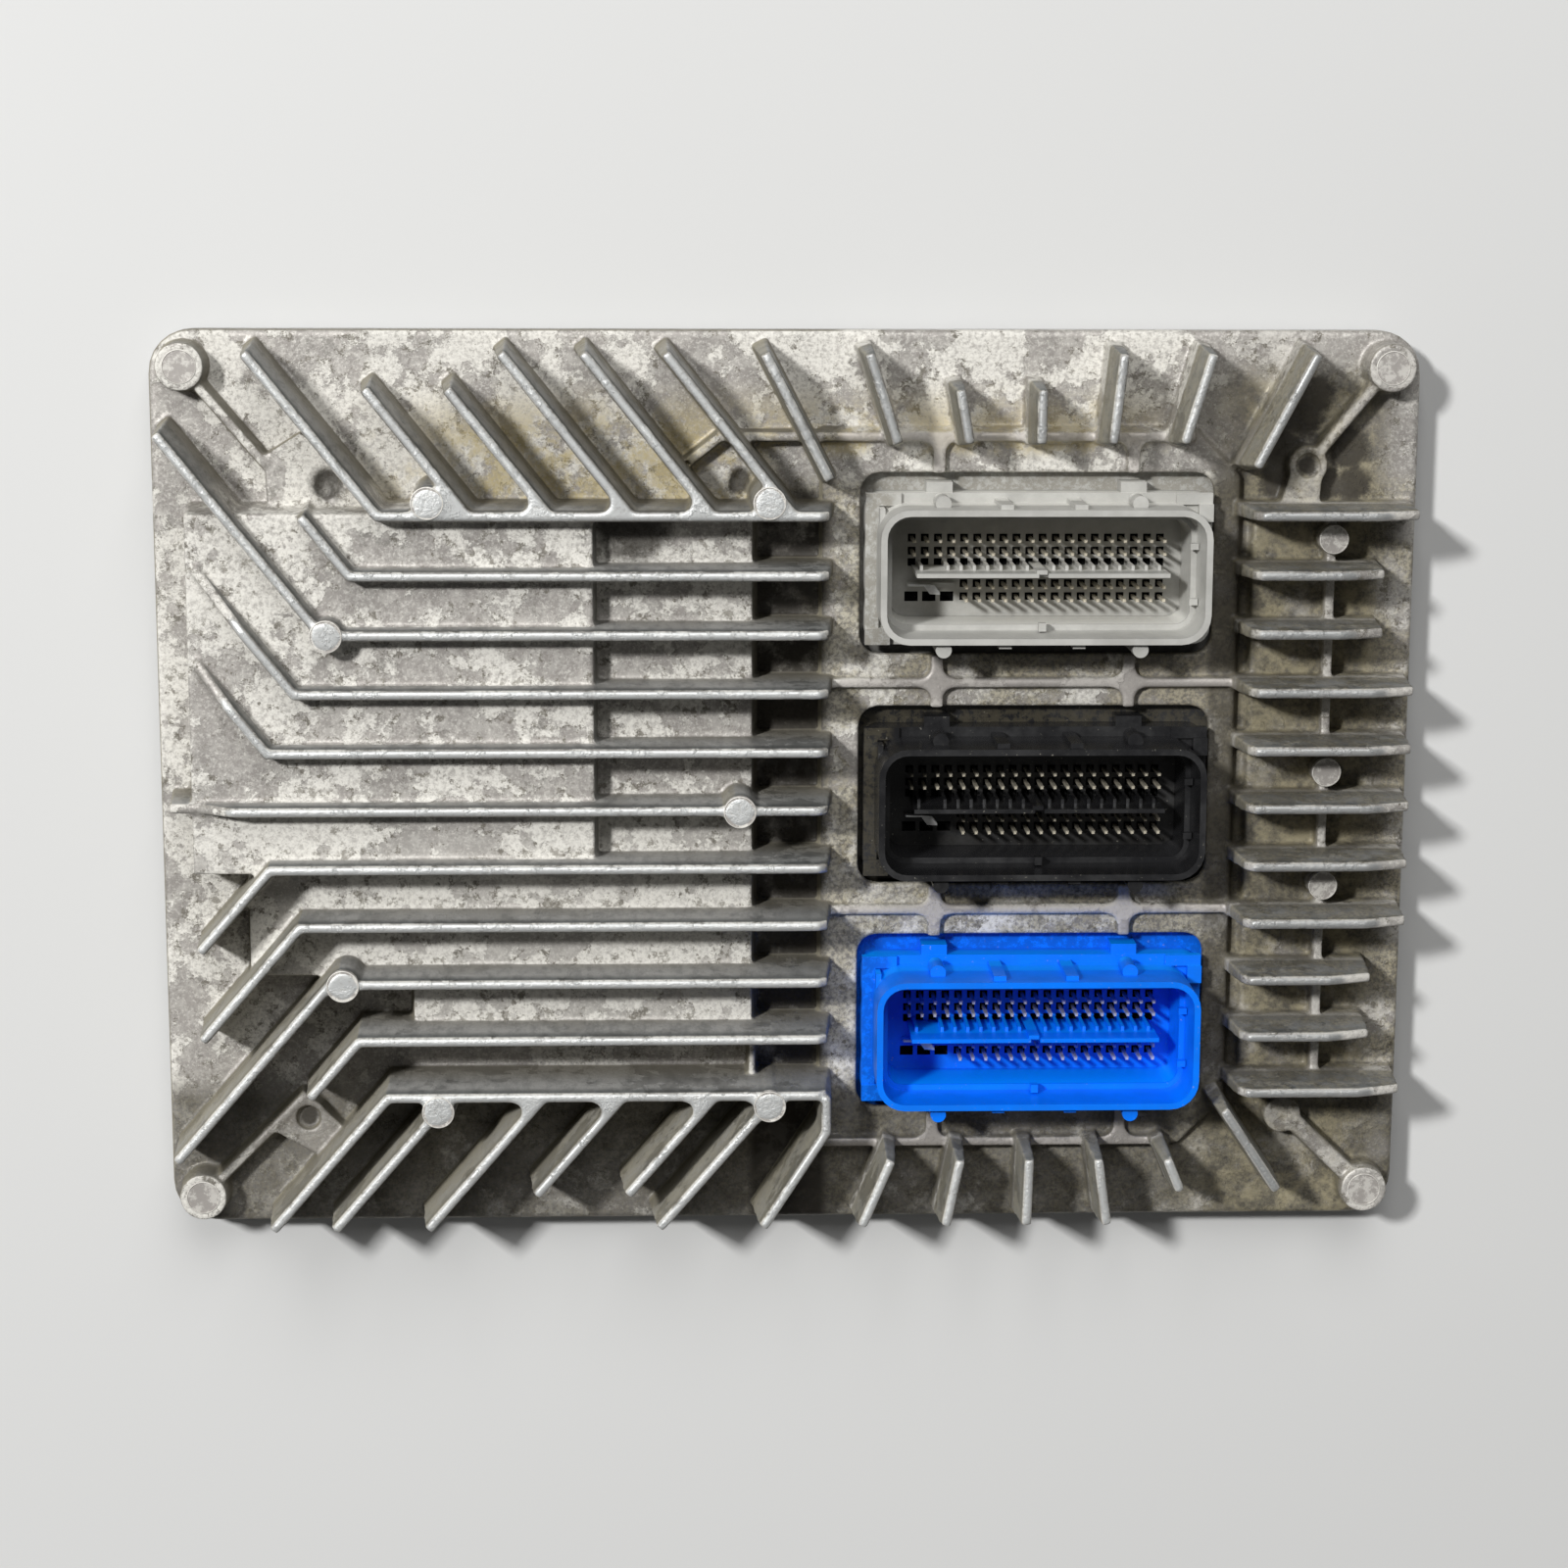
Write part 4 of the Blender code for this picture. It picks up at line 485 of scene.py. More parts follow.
    grain = finish.noise(0.5 * MM, 3.0, 0.7)
    relief = finish.blend(finish.compute("MAXIMUM", crust, 0.15), finish.product(grain, 0.25), crumbs)
    finish.bump(relief, 0.20 * MM)
    rough = finish.blend(crust, 0.50, 0.85)
    rough = finish.blend(crest, rough, 0.42)
    metallic = finish.blend(crust, 0.30, 0.05)
    metallic = finish.blend(finish.compute("MAXIMUM", mud, grime), metallic, 0.0)
    return finish.shade(Base_Color=skin, Roughness=rough, Metallic=finish.blend(crest, metallic, 0.45))


def pad_metal(settings, flash, crusted=0.75):
    """Ejector pads: flat grey faces mottled with oxide, and a bright flash round them."""
    finish = Finish("ejector_pad_metal", settings.metal, 0.55, 0.2)
    mottle = finish.step(finish.noise(2.4 * MM, 7.0, 0.78), 0.46, 0.56)
    skin = finish.mix(finish.product(mottle, crusted), finish_dark(settings.metal, 0.95), settings.oxide)
    ring = finish.step(finish.part(finish.place, "Z"), flash, flash + 0.03 * MM)
    skin = finish.mix(finish.product(ring, 0.7), skin, settings.oxide)
    finish.bump(finish.noise(0.6 * MM, 4.0, 0.7), 0.05 * MM)
    return finish.shade(Base_Color=skin)


def painted_shade_and_grime(finish, across, along, height):
    """Black-brown painted shade with some grime: in the deep strip beside the sockets, as the headers' shadow in a
    gutter to their right, in one recess, in the dimples and bores, and as cast shadows beside the fins in the upper
    right corner.
    """
    # Painted shade: the deep strip beside the sockets, and a gutter right of the headers where their shadow falls.
    strip = finish.product(finish.step(across, -8.5 * MM, -6.0 * MM), finish.step(across, 9.0 * MM, 6.5 * MM),
                           finish.step(height, 4.0 * MM, 1.0 * MM), finish.step(along, 61 * MM, 55 * MM))
    header_shadow = finish.product(finish.step(across, 81 * MM, 83 * MM), finish.step(across, 90 * MM, 87 * MM),
                            finish.step(height, 4.0 * MM, 1.0 * MM), finish.step(along, 66 * MM, 60 * MM),
                            finish.step(along, -70 * MM, -62 * MM))
    strip = finish.compute("MAXIMUM", strip, header_shadow)
    cloud = finish.noise(9 * MM, 7.0, 0.72)
    grime = finish.product(strip, finish.step(cloud, 0.24, 0.52), 0.95)
    # Painted shade in one recess, the dimples and the bores, and painted cast shadows beside the fins in the upper
    # right corner.
    for x, y, z, radius in ((-30.0, 51.5, 16.0, 9.0), (-88.0, 59.3, 11.9, 4.3), (-9.5, 59.1, 7.8, 3.8),
                            (-94.4, -65.8, 11.6, 2.6), (99.9, 62.7, 11.6, 2.6), (96.5, 66.0, 9.0, 5.5),
                            (99.0, 71.0, 9.0, 5.5), (101.5, 76.0, 9.0, 5.0), (108.0, 65.5, 9.0, 5.5),
                            (109.5, 59.0, 9.0, 5.0), (95.5, 59.5, 9.0, 5.0), (104.5, 59.0, 9.0, 4.5)):
        distance = finish.nodes.new("ShaderNodeVectorMath")
        distance.operation = "DISTANCE"
        finish.feed(distance.inputs[0], finish.place)
        distance.inputs[1].default_value = (x * MM, y * MM, z * MM)
        reach = finish.compute("ADD", distance.outputs["Value"],
                               finish.product(finish.compute("SUBTRACT", cloud, 0.5), radius * 1.4 * MM))
        shade_spot = finish.step(reach, radius * MM, radius * 0.55 * MM)
        edge = finish.step(cloud, 0.25, 0.5, 0.55, 1.0)
        grime = finish.compute("MAXIMUM", grime, finish.product(shade_spot, edge, 0.9))
    return grime


def finish_dark(shade, factor):
    """A colour made darker, or lighter with a factor above one."""
    return tuple(min(1.0, channel * factor) for channel in shade)


def rolled_sheet():
    """Plain aluminium sheet with a faint rolling grain and dull stains."""
    finish = Finish("rolled_sheet", (0.5, 0.5, 0.49), 0.4, 0.85)
    grain = finish.noise(0.8 * MM, 3.0, 0.6, finish.stretched((0.05, 1.0, 1.0)))
    stain = finish.step(finish.noise(30 * MM, 6.0, 0.6), 0.45, 0.7)
    finish.bump(grain, 0.02 * MM)
    base = finish.mix(grain, (0.42, 0.42, 0.41), (0.56, 0.56, 0.55))
    base = finish.mix(finish.product(stain, 0.5), base, (0.33, 0.32, 0.30))
    return finish.shade(Base_Color=base, Roughness=finish.blend(stain, 0.34, 0.6))


def moulded_plastic(name, base, roughness, dust, dust_amount, silt_amount, silt_colour, gloss, south=-1.0):
    """Moulded header plastic: fine skin, dulled patches, dust on what faces up, silt on the foot, a painted shadow on
    the part of the foot south of the given place, and painted light on the north-facing walls of the socket's well.
    """
    finish = Finish(name, base, roughness)
    upward = finish.step(finish.part(finish.normal, "Z"), 0.6, 0.95)
    haze = finish.noise(9 * MM, 6.0, 0.65)
    specks = finish.step(finish.noise(0.8 * MM, 3.0, 0.7), 0.66, 0.72)
    film = finish.product(finish.step(haze, 0.35, 0.75), upward, dust_amount)
    skin = finish.mix(finish.step(haze, 0.3, 0.7), base, finish_dark(base, 0.82))
    skin = finish.mix(film, skin, dust)
    skin = finish.mix(finish.product(specks, upward, 0.5), skin, (0.42, 0.40, 0.33))
    height = finish.part(finish.place, "Z")
    left_end = finish.product(finish.step(height, 17 * MM, 15 * MM),
                              finish.step(finish.part(finish.place, "X"), 21 * MM, 19 * MM))
    foot = finish.step(height, 9.0 * MM, 7.2 * MM)
    low = finish.compute("MAXIMUM", foot, finish.product(left_end, 0.9))
    silt = finish.product(low, upward, finish.step(finish.noise(1.8 * MM, 8.0, 0.80), 0.40, 0.54), silt_amount)
    skin = finish.mix(silt, skin, silt_colour)
    shadow = finish.product(foot, finish.step(finish.part(finish.place, "Y"), south + MM, south), 0.85)
    skin = finish.mix(shadow, skin, finish_dark(base, 0.12))
    # Painted light: the north-facing walls of the socket's well are made paler, as if lit from the north.
    wall = finish.product(finish.step(finish.part(finish.normal, "Y"), 0.3, 0.8),
                          finish.step(height, 8.7 * MM, 10.5 * MM), finish.step(height, 19.5 * MM, 18.0 * MM))
    skin = finish.mix(wall, skin, finish_dark(base, 1.5))
    finish.bump(finish.noise(0.35 * MM, 2.0, 0.6), 0.015 * MM)
    return finish.shade(Base_Color=skin, Roughness=finish.blend(film, roughness, 0.8),
                        Specular_IOR_Level=gloss)


def bright_metal(name, base, roughness, metallic=1.0):
    """Plated metal with faint tarnish."""
    finish = Finish(name, base, roughness, metallic)
    tarnish = finish.step(finish.noise(1.6 * MM, 4.0, 0.6), 0.45, 0.75)
    skin = finish.mix(finish.product(tarnish, 0.6), base, finish_dark(base, 0.6))
    return finish.shade(Base_Color=skin, Roughness=finish.blend(tarnish, roughness, roughness + 0.2))


def pin_metal(name, base, tip):
    """Plated pin: a painted highlight at its tip, and painted shade with a faint tone on the stem below it."""
    finish = Finish(name, base, 0.25, 0.35)
    # Painted highlight at the tip; the stem below is painted shade.
    tip_highlight = finish.step(finish.part(finish.place, "Z"), tip - 1.2 * MM, tip)
    shaded_stem = finish.mix(finish.noise(0.7 * MM, 3.0, 0.6), finish_dark(base, 0.42), finish_dark(base, 0.78))
    return finish.shade(Base_Color=finish.mix(tip_highlight, shaded_stem, base))


def lacquered_board():
    """Green board laminate with the weave just showing."""
    finish = Finish("lacquered_board", (0.02, 0.14, 0.05), 0.35)
    weave = finish.noise(0.9 * MM, 2.0, 0.5)
    return finish.shade(Base_Color=finish.mix(weave, (0.015, 0.11, 0.04), (0.03, 0.18, 0.07)))


def soft_rubber(name, base):
    """Matte elastomer with a dusty bloom."""
    finish = Finish(name, base, 0.8)
    bloom = finish.step(finish.noise(2.0 * MM, 4.0, 0.6), 0.4, 0.8)
    return finish.shade(Base_Color=finish.mix(bloom, base, finish_dark(base, 1.7)))


def moulded_epoxy():
    """Black chip package with a sandy skin."""
    finish = Finish("moulded_epoxy", (0.03, 0.03, 0.03), 0.55)
    sand = finish.noise(0.3 * MM, 2.0, 0.6)
    finish.bump(sand, 0.01 * MM)
    return finish.shade(Base_Color=finish.mix(sand, (0.022, 0.022, 0.022), (0.045, 0.045, 0.045)))


# Pieces

class CONTROL_UNIT_OT_cover(bpy.types.Operator):
    """Cast cover: the solid's sharp edges rounded as a die casting's are"""

    bl_idname = "control_unit.cover"
    bl_label = "Cast cover"

    def execute(self, context):
        settings = context.scene.casting
        cover = copy_of(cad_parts["finned_cover"], "cast_cover")
        activate(cover)
        bpy.ops.object.mode_set(mode="EDIT")
        bpy.ops.mesh.select_all(action="SELECT")
        bpy.ops.mesh.remove_doubles(threshold=0.001 * MM)
        deselect()
        for place, radii in (((-88.0, 59.3, 14.2), (2.6, 3.7, 2.2)), ((-9.5, 59.1, 9.5), (2.0, 3.3, 1.7))):
            cut(cover, self.dimple(place, radii))
        for x, y in ((-94.4, -65.8), (99.9, 62.7)):
            cut(cover, add_post("bore", x * MM, y * MM, 2.4 * MM, 12.1 * MM, 16 * MM, 40))
        spine = add_block("spine", (103.6 * MM, -57.0 * MM, 8.5 * MM), (105.4 * MM, 53.5 * MM, 14.9 * MM))
        cut(cover, spine, "UNION")
        voxel = settings.grain * 1.0
        finish_modifier(cover, "REMESH", mode="VOXEL", voxel_size=voxel)
        finish_modifier(cover, "SMOOTH", factor=0.5, iterations=5)
        self.round_crests(cover, settings.face + settings.crest - 1.5 * MM)
        share = min(1.0, 190000 / (2 * len(cover.data.polygons)))
        finish_modifier(cover, "DECIMATE", ratio=share)
        low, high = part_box("finned_cover")
        for vertex in cover.data.vertices:
            vertex.co = [min(max(place, near), far) for place, near, far in zip(vertex.co, low, high)]
        smooth(cover, 60.0)
        metal = corroded_casting(settings)
        seat(cover, metal, "cast_aluminium", "finned_cover")
        top = settings.face + settings.crest + 0.22 * MM
        crests = ((-68.14, 56.85), (-4.08, 56.85), (-87.52, 31.75), (-9.6, -2.0), (-85.7, -35.75),
                  (-67.84, -60.85), (-3.8, -60.07))
        corners = ((-115.2, 81.45), (115.2, 81.45), (115.2, -81.45), (-115.2, -81.45))
        seat(self.pads("crest_pads", 3.1 * MM, top, crests), pad_metal(settings, top), "cast_aluminium")
        top = settings.face + 6.45 * MM
        seat(self.pads("corner_pads", 3.3 * MM, top, corners), pad_metal(settings, top, 0.5), "cast_aluminium")
        top = 17.65 * MM
        spine = ((104.5, 48.96), (104.5, 3.62), (104.5, -18.88))
        seat(self.pads("spine_pads", 2.8 * MM, top, spine), pad_metal(settings, top, 0.6), "cast_aluminium")
        return {"FINISHED"}

    def round_crests(self, cover, low):
        """Round what lies above a height more than the rest, as wear has."""
        crests = cover.vertex_groups.new(name="crests")
        crests.add([vertex.index for vertex in cover.data.vertices if vertex.co.z > low], 1.0, "REPLACE")
        finish_modifier(cover, "SMOOTH", factor=0.5, iterations=9, vertex_group="crests")
        cover.vertex_groups.clear()

    def dimple(self, place, radii):
        """Oval cutter, its long axis leaning to the right."""
        deselect()
        bpy.ops.mesh.primitive_uv_sphere_add(segments=32, ring_count=16, radius=MM,
                                             location=Vector(place) * MM, rotation=(0.0, 0.0, -0.35))
        oval = bpy.context.object
        oval.scale = radii
        return settle(oval, "dimple")

    def pads(self, name, radius, top, places):
        """Ejector pads: discs with a fine flash round a slightly sunken face."""
        pad = add_post("pad", 0.0, 0.0, radius, top - 1.2 * MM, top, 40)
        edit_faces(pad, lambda centre, normal: normal.z > 0.9)
        bpy.ops.mesh.inset(thickness=0.16 * MM)
        bpy.ops.transform.translate(value=(0.0, 0.0, 0.05 * MM))
        bpy.ops.mesh.inset(thickness=0.12 * MM)
        bpy.ops.transform.translate(value=(0.0, 0.0, -0.14 * MM))
        deselect()
        copies = [copy_of(pad, name, (x * MM, y * MM, 0.0)) for x, y in places]
        bpy.data.objects.remove(pad)
        pads = join(copies, name)
        smooth(pads, 40.0)
        return pads


class CONTROL_UNIT_OT_headers(bpy.types.Operator):
    """Three plug headers: housing with shroud, ledge, windows, divider and keys"""

    bl_idname = "control_unit.headers"
    bl_label = "Plug headers"

    def execute(self, context):
        settings = context.scene.headers
        housing = self.body(settings)
        self.hollow(housing, settings)
        self.windows(housing, settings)
        self.divider(housing, settings)
        finish_modifier(housing, "BEVEL", width=0.16 * MM, segments=2, limit_method="ANGLE",
                        angle_limit=math.radians(40.0), use_clamp_overlap=True)
        smooth(housing)
        looks = {"grey": (0.40, (0.30, 0.29, 0.26), 0.25, 0.62, (0.19, 0.17, 0.13), 0.4),
                 "black": (0.18, (0.30, 0.30, 0.30), 0.11, 0.40, (0.11, 0.095, 0.06), 0.45),
                 # For the blue header the silt colour is only a darker blue, mottled on the upper faces of the foot
                 # and the left end.
                 "blue": (0.34, (0.02, 0.22, 0.75), 0.10, 0.75, (0.0, 0.08, 0.46), 0.35)}
        dark = moulded_plastic("window_shade", (0.008, 0.008, 0.008), 0.8, (0.02, 0.02, 0.02), 0.1, 0.0,
                               (0.02, 0.02, 0.02), 0.1)
        for number, name in enumerate(COLOURS):
            offset = (settings.x, settings.y + (1 - number) * settings.pitch, 0.0)
            copied = copy_of(housing, "housing_" + name, offset)
            plastic = moulded_plastic(name + "_plastic", getattr(settings, name), *looks[name],
                                      south=offset[1] - 12.6 * MM)
            seat(copied, plastic, name + "_plastic", "header_" + name)
            self.shade_windows(copied, dark, settings, offset)
        bpy.data.objects.remove(housing)
        return {"FINISHED"}

    def shade_windows(self, housing, dark, settings, offset):
        """Darken the insides of the floor's windows."""
        housing.data.materials.append(dark)
        for face in housing.data.polygons:
            place = face.center - Vector(offset)
            sunk = settings.floor - 2.0 * MM < place.z < settings.floor - 0.12 * MM
            if sunk and abs(place.x) < 26.5 * MM and abs(place.y) < 8.0 * MM:
                face.material_index = 1

    def body(self, settings):
        """Foot, block, shroud, and the posts, keys, tabs and steps outside it."""
        parts = [add_rounded_block("foot", (74.5 * MM, 41.2 * MM), 6.7 * MM, settings.foot_bottom,
                                   settings.foot_top, (0.0, settings.shift)),
                 add_rounded_block("block", (66.9 * MM, 29.3 * MM), 3.2 * MM, settings.foot_top - 0.5 * MM,
                                   settings.block_top),
                 add_rounded_block("shroud", (62.6 * MM, 25.5 * MM), 5.6 * MM, settings.block_top - 0.5 * MM,
                                   settings.rim)]
        low = settings.block_top - 0.5 * MM
        for side in (-1, 1):
            wall = side * 12.75 * MM
            for x in (-19.2 * MM, 18.2 * MM):
                reach, start, stop = (0.7, 3.6, 10.4) if side > 0 else (1.15, 0.0, 14.4)
                parts.append(add_post("post", x, wall + side * reach * MM, 1.5 * MM, low + start * MM,
                                      low + stop * MM))
            for x in (-7.5 * MM, 6.5 * MM):
                near, far = sorted((wall - side * 0.6 * MM, wall + side * 0.9 * MM))
                parts.append(add_block("key", (x - 1.2 * MM, near, low), (x + 1.2 * MM, far, low + 14.2 * MM)))
        for x in (-19.2 * MM, 18.2 * MM):
            parts.append(add_block("tab", (x - 2.5 * MM, 14.0 * MM, settings.foot_top - 0.4 * MM),
                                   (x + 2.5 * MM, 16.65 * MM, settings.block_top - 0.3 * MM)))
        top = settings.block_top
        for near, far in (((-33.4, -14.6, -1.0), (-28.6, -11.4, 1.3)), ((-33.4, -11.8, -1.0), (-30.8, 14.6, 0.9)),
                          ((-32.0, 12.2, -1.0), (-26.6, 14.6, 0.9)), ((26.4, 12.4, -1.0), (33.4, 14.6, 0.8)),
                          ((30.6, 9.2, -1.0), (33.4, 12.6, 2.0)), ((-30.9, 6.8, -1.0), (-29.9, 12.0, 5.0))):
            parts.append(add_block("step", (near[0] * MM, near[1] * MM, top + near[2] * MM),
                                   (far[0] * MM, far[1] * MM, top + far[2] * MM)))
        housing = parts[0]
        for part in parts[1:]:
            cut(housing, part, "UNION")
        return housing

    def hollow(self, housing, settings):
        """The socket: a wide mouth, a ledge and a narrower well with sloping walls."""
        mouth = add_rounded_block("mouth", (60.3 * MM, 23.2 * MM), 4.4 * MM, settings.ledge,
                                  settings.rim + MM)
        well = add_rounded_block("well", (57.3 * MM, 20.2 * MM), 2.9 * MM, settings.floor,
                                 settings.ledge + MM)
        for tool, shrink in ((mouth, 0.983), (well, 0.983)):
            edit_faces(tool, lambda centre, normal: normal.z < -0.9)
            bpy.ops.transform.resize(value=(shrink, shrink * 0.98, 1.0))
            deselect()
            cut(housing, tool)
        for near, far in (((-0.7, -11.0, 20.6), (0.7, -9.4, 22.4)), ((28.0, 4.6, 20.6), (29.6, 5.8, 22.2)),
                          ((28.0, -6.0, 20.6), (29.6, -4.8, 22.2))):
            nub = add_block("nub", [number * MM for number in near], [number * MM for number in far])
            cut(housing, nub, "UNION")

    def windows(self, housing, settings):
        """Square windows in the socket's floor, one round each pin place, and a slot for the clip."""
        step = settings.pin_pitch
        side = 1.5 * MM
        first = -9.5 * step
        cutters = []
        deep, high = settings.floor - 1.7 * MM, settings.floor + 1.0 * MM
        for row, skip in ((0.0, 0), (1.0, 0), (1.87, 0), (3.5, 4), (4.5, 4)):
            x, y = first + skip * step, settings.pin_row - row * step
            window = add_block("window", (x - side / 2, y - side / 2, deep), (x + side / 2, y + side / 2, high))
            finish_modifier(window, "ARRAY", count=20 - skip, use_relative_offset=False,
                            use_constant_offset=True, constant_offset_displace=(step, 0.0, 0.0))
            cutters.append(window)
        y = settings.pin_row - 4.5 * step
        for x in (-24.15 * MM, -20.7 * MM, -17.25 * MM):
            cutters.append(add_block("window", (x - 1.3 * MM, y - 0.95 * MM, deep),
                                     (x + 1.3 * MM, y + 0.95 * MM, high)))
        cut(housing, join(cutters, "windows"))
        cut(housing, add_block("bar", (-25.1 * MM, -4.0 * MM, settings.floor - 0.3 * MM),
                               (-15.9 * MM, -3.1 * MM, settings.floor + 1.4 * MM)), "UNION")

    def divider(self, housing, settings):
        """Upright blade between the pin rows, notched in its middle, with a comb of small ribs."""
        step = settings.pin_pitch
        y = settings.pin_row - 2.25 * step
        reach = 9.5 * step
        floor = settings.floor - 0.5 * MM
        blade = add_block("blade", (-reach, y - 0.4 * MM, floor), (reach, y + 0.4 * MM, floor + 15.3 * MM))
        cut(blade, add_block("notch", (-0.9 * MM, y - MM, floor + 13.7 * MM), (0.9 * MM, y + MM, floor + 16 * MM)))
        ribs = []
        for start, count in ((-9.0, 1), (-7.0, 7), (1.0, 9)):
            rib = add_block("rib", (start * step - 0.3 * MM, y + 0.3 * MM, floor),
                            (start * step + 0.3 * MM, y + 1.3 * MM, floor + 9.5 * MM))
            finish_modifier(rib, "ARRAY", count=count, use_relative_offset=False, use_constant_offset=True,
                            constant_offset_displace=(step, 0.0, 0.0))
            ribs.append(rib)
        cut(blade, join(ribs, "comb"), "UNION")
        cut(blade, add_block("catch", (-1.3 * MM, y + 0.2 * MM, floor), (0.7 * MM, y + 1.0 * MM, floor + 15.0 * MM)),
            "UNION")
        cut(housing, blade, "UNION")


class CONTROL_UNIT_OT_pins(bpy.types.Operator):
    """Pins of the three headers, in two full rows and two shorter ones"""

    bl_idname = "control_unit.pins"
    bl_label = "Pins"

    def execute(self, context):
        settings = context.scene.headers
        half = settings.pin_side / 2
        step = settings.pin_pitch
        pin = add_block("pin", (-half, -half, settings.floor - 0.9 * MM),
                        (half, half, settings.floor + settings.pin_height - 0.6 * MM))
        edit_faces(pin, lambda centre, normal: normal.z > 0.9)
        bpy.ops.mesh.extrude_region_move(TRANSFORM_OT_translate={"value": (0.0, 0.0, 0.6 * MM)})
        bpy.ops.transform.resize(value=(0.35, 0.35, 1.0))
        deselect()
        rows = []
        for row, first in ((0.0, 0), (1.0, 0), (3.5, 4), (4.5, 4)):
            line = copy_of(pin, "row", ((first - 9.5) * step, settings.pin_row - row * step, 0.0))
            finish_modifier(line, "ARRAY", count=20 - first, use_relative_offset=False,
                            use_constant_offset=True, constant_offset_displace=(step, 0.0, 0.0))
            rows.append(line)
        bpy.data.objects.remove(pin)
        pattern = join(rows, "pins")
        tip = settings.floor + settings.pin_height
        metals = {"grey": settings.pin_metal, "black": settings.pin_metal, "blue": (0.85, 0.84, 0.80)}
        for number, name in enumerate(COLOURS):
            offset = (settings.x, settings.y + (1 - number) * settings.pitch, 0.0)
            copied = copy_of(pattern, "pins_" + name, offset)
            seat(copied, pin_metal("pin_metal_" + name, metals[name], tip - 0.8 * MM), "zinc_plated_steel")
        bpy.data.objects.remove(pattern)
        return {"FINISHED"}


class CONTROL_UNIT_OT_clips(bpy.types.Operator):
    """Shorting clips: one bent strip in each socket"""

    bl_idname = "control_unit.clips"
    bl_label = "Shorting clips"

    def execute(self, context):
        settings = context.scene.headers
        steel = bright_metal("clip_steel", (0.80, 0.80, 0.78), 0.30, 0.6)
        y = settings.pin_row - 3.56 * settings.pin_pitch
        strip = add_block("strip", (-24.9 * MM, y - 0.2 * MM, settings.floor + 0.2 * MM),
                          (-21.8 * MM, y + 0.2 * MM, settings.floor + 2.2 * MM))
        for bend in ((1.1 * MM, -1.5 * MM, 0.0), (2.0 * MM, -0.15 * MM, 0.0)):
            edit_faces(strip, lambda centre, normal: normal.x > 0.3)
            bpy.ops.mesh.extrude_region_move(TRANSFORM_OT_translate={"value": bend})
            deselect()
        finish_modifier(strip, "BEVEL", width=0.05 * MM, segments=2, limit_method="ANGLE",
                        angle_limit=math.radians(20.0))
        smooth(strip)
        for number, name in enumerate(COLOURS):
            offset = (settings.x, settings.y + (1 - number) * settings.pitch, 0.0)
            seat(copy_of(strip, "clip_" + name, offset), steel, "zinc_plated_steel", "shorting_clip_" + name)
        bpy.data.objects.remove(strip)
        return {"FINISHED"}


class CONTROL_UNIT_OT_back(bpy.types.Operator):
    """Back plate and the screws that hold it"""

    bl_idname = "control_unit.back"
    bl_label = "Back plate and screws"

    def execute(self, context):
        plate = copy_of(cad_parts["back_plate"], "pressed_back_plate")
        activate(plate)
        bpy.ops.object.mode_set(mode="EDIT")
        bpy.ops.mesh.select_all(action="SELECT")
        bpy.ops.mesh.remove_doubles(threshold=0.001 * MM)
        bpy.ops.mesh.dissolve_limited(angle_limit=math.radians(0.5))
        deselect()
        finish_modifier(plate, "BEVEL", width=0.3 * MM, segments=3, limit_method="ANGLE",
                        angle_limit=math.radians(25.0), use_clamp_overlap=True)
        smooth(plate)
        seat(plate, rolled_sheet(), "sheet_aluminium", "back_plate")
        zinc = bright_metal("zinc_plating", (0.62, 0.62, 0.58), 0.32)
        for number in range(1, 5):
            low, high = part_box("corner_screw_%d" % number)
            self.screw(low, high, zinc, number)
        return {"FINISHED"}

    def screw(self, low, high, zinc, number):
        """A pan head with a six-lobed recess, on a plain shank."""
        x, y = (low.x + high.x) / 2, (low.y + high.y) / 2
        radius = (high.x - low.x) / 2
        screw = add_post("screw", x, y, radius, low.z, low.z + 2.2 * MM, 48)
        edit_edges(screw, lambda a, b: max(a.z, b.z) < low.z + 0.1 * MM)
        bpy.ops.mesh.bevel(offset=0.7 * MM, segments=5, affect="EDGES")
        deselect()
        cut(screw, add_post("shank", x, y, 1.5 * MM, low.z + 1.5 * MM, high.z), "UNION")
        recess = add_post("recess", x, y, 1.5 * MM, low.z - MM, low.z + 1.3 * MM, 6)
        edit_edges(recess, lambda a, b: abs(a.z - b.z) > MM)
        bpy.ops.mesh.bevel(offset=0.45 * MM, segments=4, affect="EDGES", profile=0.15)
        deselect()
        cut(screw, recess)
        smooth(screw)
        seat(screw, zinc, "zinc_plated_steel", "corner_screw_%d" % number)
        screw.name = screw.data.name = "head_screw_%d" % number


class CONTROL_UNIT_OT_inside(bpy.types.Operator):
    """Finish of the sealed pieces inside"""

    bl_idname = "control_unit.inside"
    bl_label = "Inside pieces"

    def execute(self, context):
        finishes = {"circuit_board": lacquered_board(), "cover_seal": soft_rubber("seal_rubber", (0.04, 0.04, 0.04)),
                    "board_screw": bright_metal("board_zinc", (0.62, 0.62, 0.58), 0.32),
                    "power_driver": moulded_epoxy(), "thermal_pad": soft_rubber("pad_silicone", (0.3, 0.34, 0.42)),
                    "capacitor": bright_metal("can_metal", (0.65, 0.65, 0.65), 0.35)}
        finishes["header_seal"] = finishes["cover_seal"]
        finishes["crystal"] = finishes["capacitor"]
        for name in ("processor", "flash_memory", "inductor"):
            finishes[name] = finishes["power_driver"]
        for name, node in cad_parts.items():
            for start, finish in finishes.items():
                if name.startswith(start):
                    node.data.materials.clear()
                    node.data.materials.append(finish)
        return {"FINISHED"}


